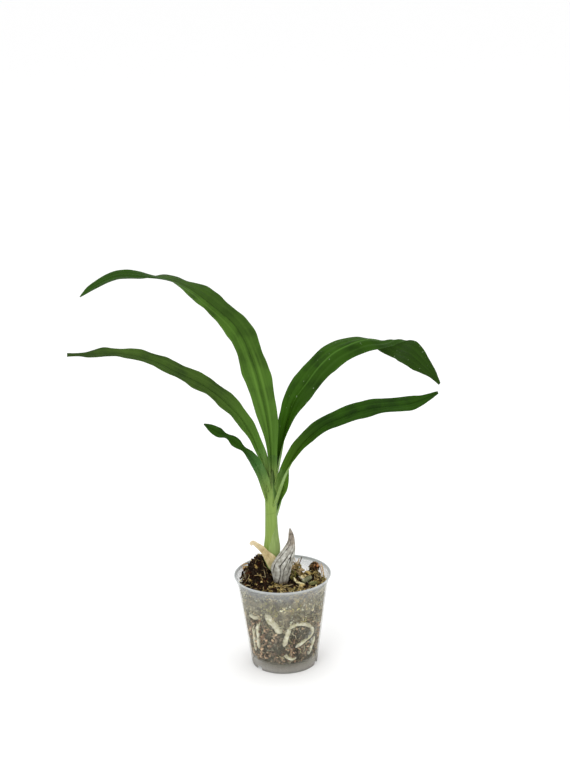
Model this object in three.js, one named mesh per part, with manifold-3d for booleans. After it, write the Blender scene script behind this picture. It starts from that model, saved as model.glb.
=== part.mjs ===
// A young orchid in a clear nursery pot, in millimetres with +Z up.
// Six pleated leaves fan out left and right from a short stem of leaf sheaths. Last year's shrivelled
// pseudobulb and a dry bract stand at its foot, in bark and moss that white roots run through.
// All is made round the pot's axis, with the pot's foot at height 0, and then moved sideways so that the
// origin is the middle of the whole outline seen from above, on the surface that the pot stands on.

import * as THREE from 'three';
import { mergeVertices } from 'three/addons/utils/BufferGeometryUtils.js';
import Module from 'manifold-3d';

const wasm = await Module();
wasm.setup();

// Driving dimensions of the pot
const POT_HEIGHT = 88;
const RIM_RADIUS = 45;
const WALL_TOP_RADIUS = 42.9;
const FOOT_RADIUS = 30.6;
const WALL = 0.9;
const SKIRT_EXTRA = 0.2;
const FLARE_HEIGHT = 12;
const LIP = 1.3;
const FLOOR_TOP = 9;
const FLOOR = 1;
const POT_SIDES = 60;
const NOTCH_ANGLES = [100, 219, 341];
const NOTCH_WIDTH = 7;
const NOTCH_HEIGHT = 4;
const NOTCH_CORNER = 1.5;
const DRAIN_RADIUS = 3.5;
const DRAIN_COUNT = 6;
const DRAIN_CIRCLE = 20;
const DRAIN_SIDES = 14;

// Driving dimensions of the mix
const CLEARANCE = 0.35;
const MIX_SIDES = 44;
const MIX_WALL_RINGS = 8;
const MIX_TOP_RINGS = 7;
const MIX_LEVEL = 76;
const MIX_SLOPE = 0.05;
const MIX_RECESS = 1.3;
const MIX_EDGE_INSET = 2.2;
const WALL_LUMPS = 0.6;
const TOP_LUMPS = 0.9;
const MOUNDS = [
  { x: -20, y: 19, height: 23.5, spread: 12 },
  { x: -32, y: 11, height: 11, spread: 9 },
  { x: 12.5, y: 15, height: 12, spread: 5 },
  { x: 29, y: 14, height: 7, spread: 12 },
  { x: 15, y: 33, height: -5, spread: 8 },
];
const MIX_SHOULDER = 3;
const CHIP_COUNT = 26;
const CHIP_CIRCLE = 36.5;
const GOLDEN_ANGLE = Math.PI * (3 - Math.sqrt(5));

// Driving dimensions of the stem, whose rings are [x, y, z, half width, half depth]
const STEM_RINGS = [
  [-7.5, 17.0, 78.0, 4.6, 4.0],
  [-8.6, 17.8, 84.0, 6.6, 5.4],
  [-9.2, 18.0, 92.0, 8.0, 6.2],
  [-9.3, 18.0, 100.0, 7.9, 6.0],
  [-9.0, 18.0, 108.0, 7.8, 5.6],
  [-8.9, 18.0, 118.0, 6.6, 5.1],
  [-9.0, 18.0, 132.0, 5.9, 4.7],
  [-8.7, 18.0, 146.0, 5.8, 4.5],
  [-8.3, 18.0, 158.0, 6.0, 4.3],
  [-7.8, 18.0, 168.0, 5.2, 3.8],
  [-7.2, 18.3, 177.0, 3.6, 2.8],
  [-6.8, 18.6, 183.0, 1.4, 1.2],
];
const STEM_SIDES = 18;

// Each leaf is a list of stations from its foot in the stem to its tip. A station is the midrib's
// place x, y, z, half the blade's width, the turn of the upper face about the midrib, away from
// facing the front, the angle by which the sides fold up from the crease, in degrees, and the
// crease's place across the blade, from -1 to 1, which is the midrib unless it is given.
const LEAVES = {
  leaf_tall_left: {
    jointAt: 1, ripple: 0.8, ripples: 7, phase: 0.4, steps: 40,
    stations: [
      [-7.8, 19, 172, 6, 30, 58],
      [-7.2, 19.5, 197, 7.2, 22, 50],
      [-9, 21, 226, 9.8, 12, 36],
      [-13.5, 24, 252, 11.9, 4, 22],
      [-22.6, 29, 287.2, 12.5, 0, 14],
      [-35.6, 34, 316.6, 11.6, 14, 12],
      [-57.8, 41, 336.8, 12, 34, 12],
      [-78.2, 48, 351.2, 12, 60, 12],
      [-98, 55, 358.2, 11.6, 77, 12],
      [-123, 60, 360.2, 10.4, 104, 12],
      [-141.5, 63, 360.1, 8.8, 114, 12],
      [-151, 64, 357.6, 7.6, 117, 12],
      [-160.4, 65, 353.2, 6.2, 118, 10],
      [-170, 66, 347.4, 4.6, 119, 10],
      [-179.8, 67, 340, 0.7, 120, 10],
    ],
  },
  leaf_low_left: {
    jointAt: 2, ripple: 0.4, ripples: 8, phase: 1.1, steps: 36,
    stations: [
      [-10.8, 17.5, 164, 5, 40, 55],
      [-13.4, 16.5, 187, 5.8, 40, 50],
      [-18.8, 14.5, 205, 7, 35, 42],
      [-25.4, 12, 222.3, 7.4, 28, 34],
      [-34.5, 9, 239.4, 8.3, 26, 25],
      [-47.4, 5, 255.9, 9, 30, 18],
      [-62.1, 1, 270.2, 9.2, 36, 16],
      [-77.6, -3, 281.2, 9.3, 38, 14],
      [-90.6, -6, 289.2, 8.9, 44, 14],
      [-103.2, -9, 297.3, 8.6, 46, 14],
      [-120.5, -12, 305, 7.7, 50, 12],
      [-138, -14, 309, 6.6, 50, 12],
      [-152, -15, 309.8, 6, 48, 12],
      [-166.2, -16, 309.2, 4, 50, 10],
      [-184.6, -17, 309, 2.4, 50, 10],
    ],
  },
  leaf_small_left: {
    jointAt: 2, ripple: 0.2, ripples: 3, phase: 0.0, steps: 26,
    stations: [
      [-12, 16.8, 155, 5.4, 36, 46],
      [-15.4, 11.8, 176, 6.6, 30, 34],
      [-20.8, 7.9, 191.5, 6, 26, 28],
      [-26.9, 6.7, 202.4, 4.9, 34, 22],
      [-32.7, 6.7, 208.6, 4.4, 56, 16],
      [-40.4, 6, 216, 5.1, 22, 14],
      [-47.7, 5, 222, 3.7, 60, 14],
      [-54.9, 3, 227, 4.7, 16, 14],
      [-61, 1.5, 231.6, 3.7, 10, 12],
      [-67.2, 0, 236, 0.8, 10, 10],
    ],
  },
  leaf_big_right: {
    jointAt: 1, ripple: 0.7, ripples: 6, phase: 2.0, steps: 42,
    stations: [
      [-6, 19.4, 170, 6, -30, 58],
      [-0.9, 22.6, 194, 6.8, -34, 62],
      [3, 25, 212, 8.4, -26, 58],
      [8.5, 27, 231, 10.3, -14, 44],
      [15.2, 29, 247.3, 11.4, -6, 26],
      [26.8, 31.5, 262.4, 12, -8, 6],
      [38.4, 34.5, 276.2, 12.6, -14, -10],
      [52, 38.5, 287, 13, -22, -20],
      [66.9, 42.5, 293, 12.9, -34, -22],
      [82.2, 47, 295.4, 12.8, -54, -24],
      [97, 54, 291.4, 12.2, -88, -30],
      [108.5, 61, 286.9, 12, -116, -45, 0.55],
      [118.2, 67.5, 280.6, 12, -150, -15, 0.9],
      [127.3, 74, 273.2, 11.2, -165, 0, 0.3],
      [138.9, 79, 260.4, 8.2, -172, 6],
      [147, 82, 250.3, 4.2, -175, 8],
      [153.1, 84, 241.3, 0.7, -178, 8],
    ],
  },
  leaf_low_right: {
    jointAt: 2, ripple: 0.6, ripples: 7, phase: 2.6, steps: 36,
    stations: [
      [-6.5, 16.5, 150, 5.6, -52, 58],
      [-0.4, 14.5, 169.6, 6.6, -52, 54],
      [4.8, 12, 184.4, 7, -48, 50],
      [11.7, 9.5, 198.5, 7.6, -40, 42],
      [20, 6.5, 211.5, 7.8, -32, 34],
      [30.9, 3, 223.5, 7.9, -30, 26],
      [42.4, 0, 232.8, 8.1, -30, 20],
      [58.4, -3, 240.7, 8.6, -30, 16],
      [70.9, -6, 246, 8.9, -26, 14],
      [82.5, -8, 249.5, 8.7, -28, 14],
      [94.1, -10, 251.7, 8.4, -38, 14],
      [112.7, -12, 253.7, 7.8, -34, 12],
      [121.6, -13, 255.4, 6.7, -18, 12],
      [130.5, -14, 259, 4.4, -10, 12],
      [142.9, -15, 265.3, 0.7, -10, 10],
    ],
  },
  leaf_small_right: {
    jointAt: 1, ripple: 0.3, ripples: 2, phase: 0.8, steps: 14,
    stations: [
      [-6, 19.6, 137, 5.2, -46, 55],
      [-1.4, 22, 151.5, 6.2, -42, 44],
      [2, 24, 163.5, 6.9, -30, 26],
      [4.8, 26, 174.5, 5, -26, 20],
      [7.6, 28, 185.5, 0.7, -24, 14],
    ],
  },
};
const LEAF_THICKNESS = 0.7;
const SHEATH_THICKNESS = 1.5;
const SHEATH_STEPS = 4;
const JOINT_GAP = 0.35;
const LEAF_LINES = [-1, -0.62, -0.24, 0, 0.24, 0.62, 1];
const SHEATH_LINES = [-1, -0.5, 0, 0.5, 1];
const PLEAT = 0.055;
const PLEATS = 2.3;
const EDGE_LAG = 1.9;
const FRONT = new THREE.Vector3(0, -0.95, 0.31).normalize();

// The dry bract has the same kind of stations
const BRACT = {
  ripple: 0.2, ripples: 2, phase: 0, steps: 12,
  stations: [
    [-6.4, 9.6, 89.5, 5.0, -8, 20],
    [-10.6, 10.2, 97.5, 5.6, -4, 24],
    [-16.6, 10.4, 105.5, 3.6, 10, 30],
    [-23.0, 10.2, 112.6, 2.4, 20, 26],
    [-26.6, 10.4, 115.0, 2.3, 20, 20],
    [-29.2, 10.8, 112.9, 1.7, 20, 16],
  ],
};
const BRACT_THICKNESS = 0.8;

// The old pseudobulb's rings are [x, y, z, half width, half depth]
const BULB_RINGS = [
  [-1.6, 6.6, 75.0, 6.2, 4.8],
  [-1.6, 6.6, 80.5, 7.4, 5.4],
  [-1.2, 6.8, 86.5, 8.8, 6.2],
  [-0.6, 7.0, 92.5, 9.5, 6.4],
  [2.0, 7.4, 99.0, 8.6, 5.8],
  [4.6, 7.8, 104.5, 7.2, 5.0],
  [7.0, 8.2, 109.5, 5.4, 4.0],
  [8.6, 8.6, 115.0, 3.6, 3.0],
  [9.0, 8.8, 119.6, 2.8, 2.4],
  [8.6, 8.8, 124.4, 2.1, 1.8],
  [8.0, 8.8, 128.8, 0.8, 0.7],
];
const BULB_SIDES = 26;
const BULB_FOLDS = 9;
const BULB_FOLD_DEPTH = 0.09;

// The rhizome joins stem, pseudobulb and roots, as a lumpy short bar
const RHIZOME = { x: -5, y: 13.5, z: 69, length: 13, width: 8, height: 5.2 };

// A root starts in the rhizome, drops inside the mix and then runs along the pot's wall, through
// points of [angle round the pot in degrees, height, distance in from the wall].
const ROOT_SIDES = 5;
const ROOT_TIP = 0.35;
const ROOT_SWELL = 0.06;
const ROOTS = [
  { radius: 1.5, wall: [[231, 57, 4], [224, 55, 0.3], [215, 54.5, 0.3], [206, 54, 0.3]] },
  { radius: 1.5, wall: [[230, 52, 6], [227, 48, 0.3], [223, 36, 0.3], [220, 21, 0.3]] },
  { radius: 1.4, wall: [[218, 47, 6], [215, 42, 0.3], [212, 30, 0.3], [209, 17, 0.3]] },
  { radius: 3.1, wall: [[241, 63, 5], [247, 58, 0.3], [256, 51, 0.3], [266, 42, 0.3]] },
  { radius: 1.9, wall: [[280, 50, 5], [277, 45, 0.3], [273, 36, 0.3], [269, 28, 0.3]] },
  { radius: 1.6, wall: [[274, 44, 5], [281, 49, 0.3], [291, 51, 0.3], [308, 48, 0.3], [322, 40, 0.3],
    [318, 35, 0.3], [304, 31, 0.3], [289, 26, 0.3]] },
  { radius: 1.5, wall: [[331, 36, 6], [328, 30, 0.3], [323, 22, 0.3], [317, 14, 0.3]] },
  { radius: 1.3, wall: [[268, 23, 5], [273, 17.5, 0.3], [282, 14.5, 0.3], [291, 15, 0.3]] },
  { radius: 1.9, wall: [[40, 50, 5], [48, 42, 0.3], [62, 34, 0.3], [70, 22, 0.3]] },
  { radius: 2.0, wall: [[110, 52, 5], [122, 44, 0.3], [126, 30, 0.3], [120, 16, 0.3]] },
  { radius: 1.8, wall: [[165, 44, 5], [172, 36, 0.3], [168, 24, 0.3], [176, 14, 0.3]] },
];

// Loose chips that lie on the mix: place, size [long, wide, thick], turn and tilt in degrees
const LOOSE_CHIPS = {
  bark_chip_round: { at: [30, 19, 85.5], size: [10, 9, 10], turn: 20, tilt: 8, seed: 3, colour: 0x6b4226 },
  bark_chip_tan: { at: [-33, 16, 87], size: [10, 6, 3.4], turn: 25, tilt: 8, seed: 5, colour: 0xa9865c },
  bark_chip_grey: {
    at: [22.5, 4, 79.5], size: [12, 6.5, 2.6], turn: 35, tilt: -14, seed: 7, colour: 0x77785a,
  },
  bark_chip_olive: { at: [28, -5, 79.5], size: [11, 6, 2.6], turn: 50, tilt: 12, seed: 9, colour: 0x6f7246 },
};

// Small helpers

const radians = (degrees) => degrees * Math.PI / 180;

function seededRandom(seed) {
  let state = seed >>> 0;
  return () => {
    state = (state * 1664525 + 1013904223) >>> 0;
    return state / 4294967296;
  };
}

// A mesh's shared vertices are merged, and triangles that have shrunk to a line are left out
function cleaned(geometry) {
  const bare = geometry.clone();
  bare.deleteAttribute('normal');
  bare.deleteAttribute('uv');
  const merged = mergeVertices(bare, 1e-4);
  const index = merged.getIndex().array;
  const kept = [];
  for (let i = 0; i < index.length; i += 3) {
    const [a, b, c] = [index[i], index[i + 1], index[i + 2]];
    if (a !== b && b !== c && c !== a) kept.push(a, b, c);
  }
  merged.setIndex(kept);
  return merged;
}

function toSolid(geometry) {
  const clean = cleaned(geometry);
  return new wasm.Manifold(new wasm.Mesh({
    numProp: 3,
    vertProperties: new Float32Array(clean.getAttribute('position').array),
    triVerts: new Uint32Array(clean.getIndex().array),
  }));
}

function toGeometry(solid) {
  const mesh = solid.getMesh();
  const geometry = new THREE.BufferGeometry();
  const places = new Float32Array(mesh.numVert * 3);
  for (let i = 0; i < mesh.numVert; i += 1) {
    for (let k = 0; k < 3; k += 1) places[i * 3 + k] = mesh.vertProperties[i * mesh.numProp + k];
  }
  geometry.setAttribute('position', new THREE.BufferAttribute(places, 3));
  geometry.setIndex(new THREE.BufferAttribute(new Uint32Array(mesh.triVerts), 1));
  return geometry;
}

function bodyFrom(points, triangles) {
  const geometry = new THREE.BufferGeometry();
  const places = points.flatMap((p) => [p.x, p.y, p.z]);
  geometry.setAttribute('position', new THREE.Float32BufferAttribute(places, 3));
  geometry.setIndex(triangles);
  return geometry;
}

// Rings of equal count, turning anticlockwise seen against the way they run, become one closed body
function loft(rings) {
  const count = rings[0].length;
  const points = rings.flat();
  const triangles = [];
  for (let r = 0; r + 1 < rings.length; r += 1) {
    for (let s = 0; s < count; s += 1) {
      const next = (s + 1) % count;
      const [a, b] = [r * count + s, r * count + next];
      triangles.push(a, b, b + count, a, b + count, a + count);
    }
  }
  const middle = (ring) => ring.reduce((sum, p) => sum.add(p), new THREE.Vector3()).divideScalar(count);
  const [first, last] = [points.length, points.length + 1];
  const lastRing = (rings.length - 1) * count;
  points.push(middle(rings[0]), middle(rings[rings.length - 1]));
  for (let s = 0; s < count; s += 1) {
    const next = (s + 1) % count;
    triangles.push(first, next, s, last, lastRing + s, lastRing + next);
  }
  return bodyFrom(points, triangles);
}

// A smooth curve through rows of numbers, spaced by the distance between their places
function smoothRows(given) {
  const width = Math.max(...given.map((row) => row.length));
  const rows = given.map((row) => [...row, ...Array(width - row.length).fill(0)]);
  const at = [0];
  for (let i = 1; i < rows.length; i += 1) {
    const step = Math.hypot(...[0, 1, 2].map((k) => rows[i][k] - rows[i - 1][k]));
    at.push(at[i - 1] + step);
  }
  const slope = (i, k) => {
    const [a, b] = [Math.max(i - 1, 0), Math.min(i + 1, rows.length - 1)];
    return (rows[b][k] - rows[a][k]) / (at[b] - at[a]);
  };
  const length = at[at.length - 1];
  const row = (distance) => {
    let i = 0;
    while (i < rows.length - 2 && at[i + 1] < distance) i += 1;
    const span = at[i + 1] - at[i];
    const t = (distance - at[i]) / span;
    const [h1, h2] = [(1 + 2 * t) * (1 - t) ** 2, t * (1 - t) ** 2];
    const [h3, h4] = [t * t * (3 - 2 * t), t * t * (t - 1)];
    return rows[i].map((value, k) => h1 * value + h2 * span * slope(i, k)
      + h3 * rows[i + 1][k] + h4 * span * slope(i + 1, k));
  };
  return { at, length, row };
}

// The middle surface of a blade at one distance from its foot: a point for each line across it
function bladeRow(leaf, curve, distance, lines) {
  const [x, y, z, half, turn, fold, crease = 0] = curve.row(distance);
  const nudge = 0.5;
  const before = curve.row(Math.max(distance - nudge, 0));
  const after = curve.row(Math.min(distance + nudge, curve.length));
  const along = new THREE.Vector3(...[0, 1, 2].map((k) => after[k] - before[k])).normalize();
  const faceFront = FRONT.clone().addScaledVector(along, -FRONT.dot(along)).normalize();
  const sideFront = along.clone().cross(faceFront);
  const [c, s] = [Math.cos(radians(turn)), Math.sin(radians(turn))];
  const face = faceFront.clone().multiplyScalar(c).addScaledVector(sideFront, s);
  const side = sideFront.clone().multiplyScalar(c).addScaledVector(faceFront, -s);
  const share = distance / curve.length;
  return lines.map((v) => {
    const out = Math.abs(v);
    const swing = 2 * Math.PI * leaf.ripples * share + leaf.phase + (v > 0 ? 0 : EDGE_LAG);
    const pleats = PLEAT * half * (1 - Math.cos(2 * Math.PI * PLEATS * out)) / 2;
    const edge = leaf.ripple * Math.sin(swing) * out ** 3 * Math.min(1, share * 3);
    const rise = half * (Math.abs(v - crease) - 0.5) * Math.sin(radians(fold)) + edge + pleats;
    const spread = half * (crease + (v - crease) * Math.cos(radians(fold))) + edge;
    return new THREE.Vector3(x, y, z)
      .addScaledVector(side, spread)
      .addScaledVector(face, rise);
  });
}

// A blade from one distance to another as a closed solid of even thickness
function blade(leaf, curve, from, to, steps, thickness, lines = LEAF_LINES) {
  const rows = [];
  for (let i = 0; i <= steps; i += 1) {
    rows.push(bladeRow(leaf, curve, from + (to - from) * i / steps, lines));
  }
  const across = lines.length;
  const normal = (i, j) => {
    const alongWay = rows[Math.min(i + 1, steps)][j].clone().sub(rows[Math.max(i - 1, 0)][j]);
    const sideWay = rows[i][Math.min(j + 1, across - 1)].clone().sub(rows[i][Math.max(j - 1, 0)]);
    return alongWay.cross(sideWay).normalize();
  };
  const points = [];
  for (const way of [-0.5, 0.5]) {
    for (let i = 0; i <= steps; i += 1) {
      for (let j = 0; j < across; j += 1) {
        points.push(rows[i][j].clone().addScaledVector(normal(i, j), way * thickness));
      }
    }
  }
  const sheet = (steps + 1) * across;
  const triangles = [];
  for (let i = 0; i < steps; i += 1) {
    for (let j = 0; j + 1 < across; j += 1) {
      const [a, c] = [i * across + j, (i + 1) * across + j];
      const [b, d] = [a + 1, c + 1];
      triangles.push(a, b, d, a, d, c);
      triangles.push(sheet + a, sheet + d, sheet + b, sheet + a, sheet + c, sheet + d);
    }
    for (const [j, flip] of [[0, false], [across - 1, true]]) {
      const [a, c] = [i * across + j, (i + 1) * across + j];
      if (flip) triangles.push(a, sheet + a, sheet + c, a, sheet + c, c);
      else triangles.push(a, c, sheet + c, a, sheet + c, sheet + a);
    }
  }
  for (const [i, flip] of [[0, false], [steps, true]]) {
    for (let j = 0; j + 1 < across; j += 1) {
      const [a, b] = [i * across + j, i * across + j + 1];
      if (flip) triangles.push(a, b, sheet + b, a, sheet + b, sheet + a);
      else triangles.push(a, sheet + a, sheet + b, a, sheet + b, b);
    }
  }
  return bodyFrom(points, triangles);
}

// An upright lofted body from rings of [x, y, z, half width, half depth]
function upright(rings, sides, scale = () => 1) {
  return loft(rings.map(([x, y, z, halfWidth, halfDepth], level) => {
    const ring = [];
    for (let s = 0; s < sides; s += 1) {
      const angle = 2 * Math.PI * s / sides;
      const grow = scale(angle, level);
      const [along, across] = [halfWidth * Math.cos(angle), halfDepth * Math.sin(angle)];
      ring.push(new THREE.Vector3(x + along * grow, y + across * grow, z));
    }
    return ring;
  }));
}

// Pot

const FLARE_FOOT = POT_HEIGHT - FLARE_HEIGHT;
const wallOutside = (z) => FOOT_RADIUS + (WALL_TOP_RADIUS - FOOT_RADIUS) * z / POT_HEIGHT;
const wallInside = (z) => wallOutside(z) - WALL;
const flare = (z) => (RIM_RADIUS - WALL_TOP_RADIUS) * Math.max(0, (z - FLARE_FOOT) / FLARE_HEIGHT) ** 2;

function potShell() {
  const flareLevels = [0, 0.45, 0.8].map((share) => FLARE_FOOT + share * FLARE_HEIGHT);
  const outline = [
    [0, FLOOR_TOP - FLOOR],
    [wallInside(FLOOR_TOP - FLOOR) - SKIRT_EXTRA, FLOOR_TOP - FLOOR],
    [wallInside(0) - SKIRT_EXTRA, 0],
    [wallOutside(0), 0],
    ...flareLevels.map((z) => [wallOutside(z) + flare(z), z]),
    [RIM_RADIUS, POT_HEIGHT - LIP / 2],
    [RIM_RADIUS - LIP / 3, POT_HEIGHT],
    [RIM_RADIUS - LIP, POT_HEIGHT - LIP / 4],
    ...flareLevels.reverse().map((z) => [wallInside(z) + flare(z), z]),
    [wallInside(FLOOR_TOP), FLOOR_TOP],
    [0, FLOOR_TOP],
  ];
  return new THREE.LatheGeometry(outline.map(([r, z]) => new THREE.Vector2(r, z)), POT_SIDES)
    .rotateX(Math.PI / 2);
}

// A round-topped notch in the foot skirt, cut from the middle outwards
function footNotch(angle) {
  const shape = new THREE.Shape();
  const half = NOTCH_WIDTH / 2;
  shape.moveTo(-half, -1);
  shape.lineTo(half, -1);
  shape.lineTo(half, NOTCH_HEIGHT - NOTCH_CORNER);
  shape.absarc(half - NOTCH_CORNER, NOTCH_HEIGHT - NOTCH_CORNER, NOTCH_CORNER, 0, Math.PI / 2);
  shape.absarc(-half + NOTCH_CORNER, NOTCH_HEIGHT - NOTCH_CORNER, NOTCH_CORNER, Math.PI / 2, Math.PI);
  shape.lineTo(-half, -1);
  const notch = new THREE.ExtrudeGeometry(shape, { depth: 8, bevelEnabled: false, curveSegments: 3 });
  return notch.rotateX(Math.PI / 2).translate(0, FOOT_RADIUS + 4, 0).rotateZ(radians(angle - 90));
}

function drainHole(x, y) {
  return new THREE.CylinderGeometry(DRAIN_RADIUS, DRAIN_RADIUS, 4 * FLOOR, DRAIN_SIDES)
    .rotateX(Math.PI / 2).translate(x, y, FLOOR_TOP);
}

function pot() {
  let solid = toSolid(potShell());
  for (const angle of NOTCH_ANGLES) solid = solid.subtract(toSolid(footNotch(angle)));
  solid = solid.subtract(toSolid(drainHole(0, 0)));
  for (let i = 0; i < DRAIN_COUNT; i += 1) {
    const angle = 2 * Math.PI * i / DRAIN_COUNT;
    const hole = drainHole(DRAIN_CIRCLE * Math.cos(angle), DRAIN_CIRCLE * Math.sin(angle));
    solid = solid.subtract(toSolid(hole));
  }
  return toGeometry(solid);
}

// Stem, leaves, bract and pseudobulb

const leafCurves = Object.fromEntries(
  Object.entries(LEAVES).map(([name, leaf]) => [name, smoothRows(leaf.stations)]),
);
const jointDistance = (name) => leafCurves[name].at[LEAVES[name].jointAt];

function leafBlade(name) {
  const [leaf, curve] = [LEAVES[name], leafCurves[name]];
  return blade(leaf, curve, jointDistance(name) + JOINT_GAP, curve.length, leaf.steps, LEAF_THICKNESS);
}

function leafSheaths() {
  let solid = toSolid(upright(STEM_RINGS, STEM_SIDES));
  for (const [name, leaf] of Object.entries(LEAVES)) {
    const top = jointDistance(name);
    const sheath = blade(leaf, leafCurves[name], 0, top, SHEATH_STEPS, SHEATH_THICKNESS, SHEATH_LINES);
    solid = solid.add(toSolid(sheath));
  }
  return solid;
}

function dryBract() {
  const curve = smoothRows(BRACT.stations);
  return blade(BRACT, curve, 0, curve.length, BRACT.steps, BRACT_THICKNESS, SHEATH_LINES);
}

function oldPseudobulb(extra = 0) {
  const rings = BULB_RINGS.map(([x, y, z, a, b]) => [x, y, z, a + extra, b + extra]);
  return upright(rings, BULB_SIDES, (angle, level) => 1
    + BULB_FOLD_DEPTH * Math.cos(BULB_FOLDS * angle + 0.5 * Math.sin(level * 0.9)) * Math.min(1, level / 2));
}

// Roots and rhizome

function rhizome(extra) {
  const lump = new THREE.SphereGeometry(1, 14, 10);
  return lump.rotateX(Math.PI / 2)
    .scale(RHIZOME.length + extra, RHIZOME.width + extra, RHIZOME.height + extra)
    .translate(RHIZOME.x, RHIZOME.y, RHIZOME.z);
}

function rootPath(root) {
  const places = root.wall.map(([angle, z, inward]) => {
    const r = wallInside(z) - CLEARANCE - root.radius - inward;
    return new THREE.Vector3(r * Math.cos(radians(angle)), r * Math.sin(radians(angle)), z);
  });
  const start = new THREE.Vector3(RHIZOME.x, RHIZOME.y, RHIZOME.z);
  const towards = places[0].clone().sub(start);
  const inside = start.clone().addScaledVector(towards, 0.45).add(new THREE.Vector3(0, 0, 3));
  return new THREE.CatmullRomCurve3([start, inside, ...places], false, 'centripetal');
}

// Rings along a root: few in the mix, more along the wall, each turned as little as can be from the last
function rootTube(root, extra) {
  const path = rootPath(root);
  const spans = root.wall.length + 1;
  const shares = [0, 1 / spans];
  for (let i = 4; i <= 2 * spans; i += 1) shares.push(0.5 * i / spans);
  const normal = new THREE.Vector3(0, 0, 1);
  const rings = shares.map((share, i) => {
    const tangent = path.getTangent(share);
    normal.addScaledVector(tangent, -normal.dot(tangent)).normalize();
    const binormal = tangent.clone().cross(normal);
    const last = i === shares.length - 1;
    const centre = path.getPoint(share).addScaledVector(tangent, last ? 2 * extra : 0);
    const swell = 1 + ROOT_SWELL * Math.sin(i * 2.3);
    const radius = root.radius * swell * (last ? ROOT_TIP : 1) + extra;
    const ring = [];
    for (let s = 0; s < ROOT_SIDES; s += 1) {
      const angle = 2 * Math.PI * s / ROOT_SIDES;
      ring.push(centre.clone()
        .addScaledVector(normal, radius * Math.cos(angle))
        .addScaledVector(binormal, radius * Math.sin(angle)));
    }
    return ring;
  });
  return loft(rings);
}

function rootMass(extra) {
  let solid = toSolid(rhizome(extra));
  for (const root of ROOTS) solid = solid.add(toSolid(rootTube(root, extra)));
  return solid;
}

// Potting mix

const lumps = (x, y, z) => Math.sin(0.61 * x + 1.3 * Math.sin(0.23 * z)) * Math.sin(0.57 * y + 0.4)
  + 0.6 * Math.sin(1.07 * x - 0.83 * y + 0.9 * z) + 0.5 * Math.sin(0.9 * z + 1.1 * y);

function mixTop(x, y) {
  const away = (mound) => ((x - mound.x) ** 2 + (y - mound.y) ** 2) / mound.spread ** 2;
  const heaps = MOUNDS.reduce((sum, mound) => sum + mound.height * Math.exp(-away(mound)), 0);
  return MIX_LEVEL - MIX_SLOPE * y + heaps + TOP_LUMPS * lumps(x, y, 0);
}

function mixBody() {
  const rings = [];
  const bottom = FLOOR_TOP + CLEARANCE;
  const edge = wallInside(MIX_LEVEL) - MIX_EDGE_INSET;
  for (let i = 0; i < MIX_WALL_RINGS; i += 1) {
    const ring = [];
    for (let s = 0; s < MIX_SIDES; s += 1) {
      const angle = 2 * Math.PI * s / MIX_SIDES;
      const [cx, cy] = [Math.cos(angle), Math.sin(angle)];
      const top = mixTop(edge * cx, edge * cy) - MIX_SHOULDER;
      const z = bottom + (top - bottom) * i / (MIX_WALL_RINGS - 1);
      const full = Math.min(wallInside(z), wallInside(FLARE_FOOT)) - CLEARANCE - 0.15;
      const r = full - MIX_RECESS - WALL_LUMPS * lumps(full * cx, full * cy, z);
      ring.push(new THREE.Vector3(Math.min(r, full) * cx, Math.min(r, full) * cy, z));
    }
    rings.push(ring);
  }
  for (let i = MIX_TOP_RINGS - 1; i >= 1; i -= 1) {
    const ring = [];
    for (let s = 0; s < MIX_SIDES; s += 1) {
      const angle = 2 * Math.PI * s / MIX_SIDES;
      const r = edge * i / MIX_TOP_RINGS;
      const [x, y] = [r * Math.cos(angle), r * Math.sin(angle)];
      ring.push(new THREE.Vector3(x, y, mixTop(x, y)));
    }
    rings.push(ring);
  }
  return loft(rings);
}

// A broken chip of bark: a box whose corners are moved about
function chipShape([long, wide, thick], random) {
  const box = new THREE.BoxGeometry(long, wide, thick);
  const chip = cleaned(box);
  const place = chip.getAttribute('position');
  for (let i = 0; i < place.count; i += 1) {
    place.setXYZ(
      i,
      place.getX(i) * (0.72 + 0.4 * random()),
      place.getY(i) * (0.72 + 0.4 * random()),
      place.getZ(i) * (0.8 + 0.4 * random()),
    );
  }
  return chip;
}

// Chips that are half sunk in the top of the mix
function sunkChips() {
  const random = seededRandom(20);
  const chips = [];
  for (let i = 0; i < CHIP_COUNT; i += 1) {
    const angle = GOLDEN_ANGLE * i;
    const r = CHIP_CIRCLE * Math.sqrt((i + 0.5) / CHIP_COUNT);
    const [x, y] = [r * Math.cos(angle), r * Math.sin(angle)];
    const size = [5 + 5 * random(), 3 + 3 * random(), 2.2 + 2 * random()];
    const chip = chipShape(size, random)
      .rotateY(radians(60 * random() - 30))
      .rotateX(radians(60 * random() - 30))
      .rotateZ(radians(360 * random()))
      .translate(x, y, mixTop(x, y) + 0.4);
    chips.push(chip);
  }
  return chips;
}

function looseChip({ size, seed, turn, tilt, at }, extra) {
  const random = seededRandom(seed);
  const chip = chipShape(size, random);
  chip.scale(...size.map((s) => (s + 2 * extra) / s));
  return chip.rotateY(radians(tilt)).rotateZ(radians(turn)).translate(...at);
}

// The room inside the pot, which the mix may fill
function potRoom() {
  const gap = CLEARANCE + 0.05;
  const top = POT_HEIGHT + 25;
  const outline = [
    [0, FLOOR_TOP + gap],
    [wallInside(FLOOR_TOP) - gap, FLOOR_TOP + gap],
    [wallInside(FLARE_FOOT) - gap, FLARE_FOOT],
    [wallInside(FLARE_FOOT) - gap, top],
    [0, top],
  ];
  return new THREE.LatheGeometry(outline.map(([r, z]) => new THREE.Vector2(r, z)), POT_SIDES)
    .rotateX(Math.PI / 2);
}

const largestPiece = (solid) => solid.decompose()
  .reduce((largest, piece) => (piece.volume() > largest.volume() ? piece : largest));

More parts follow.
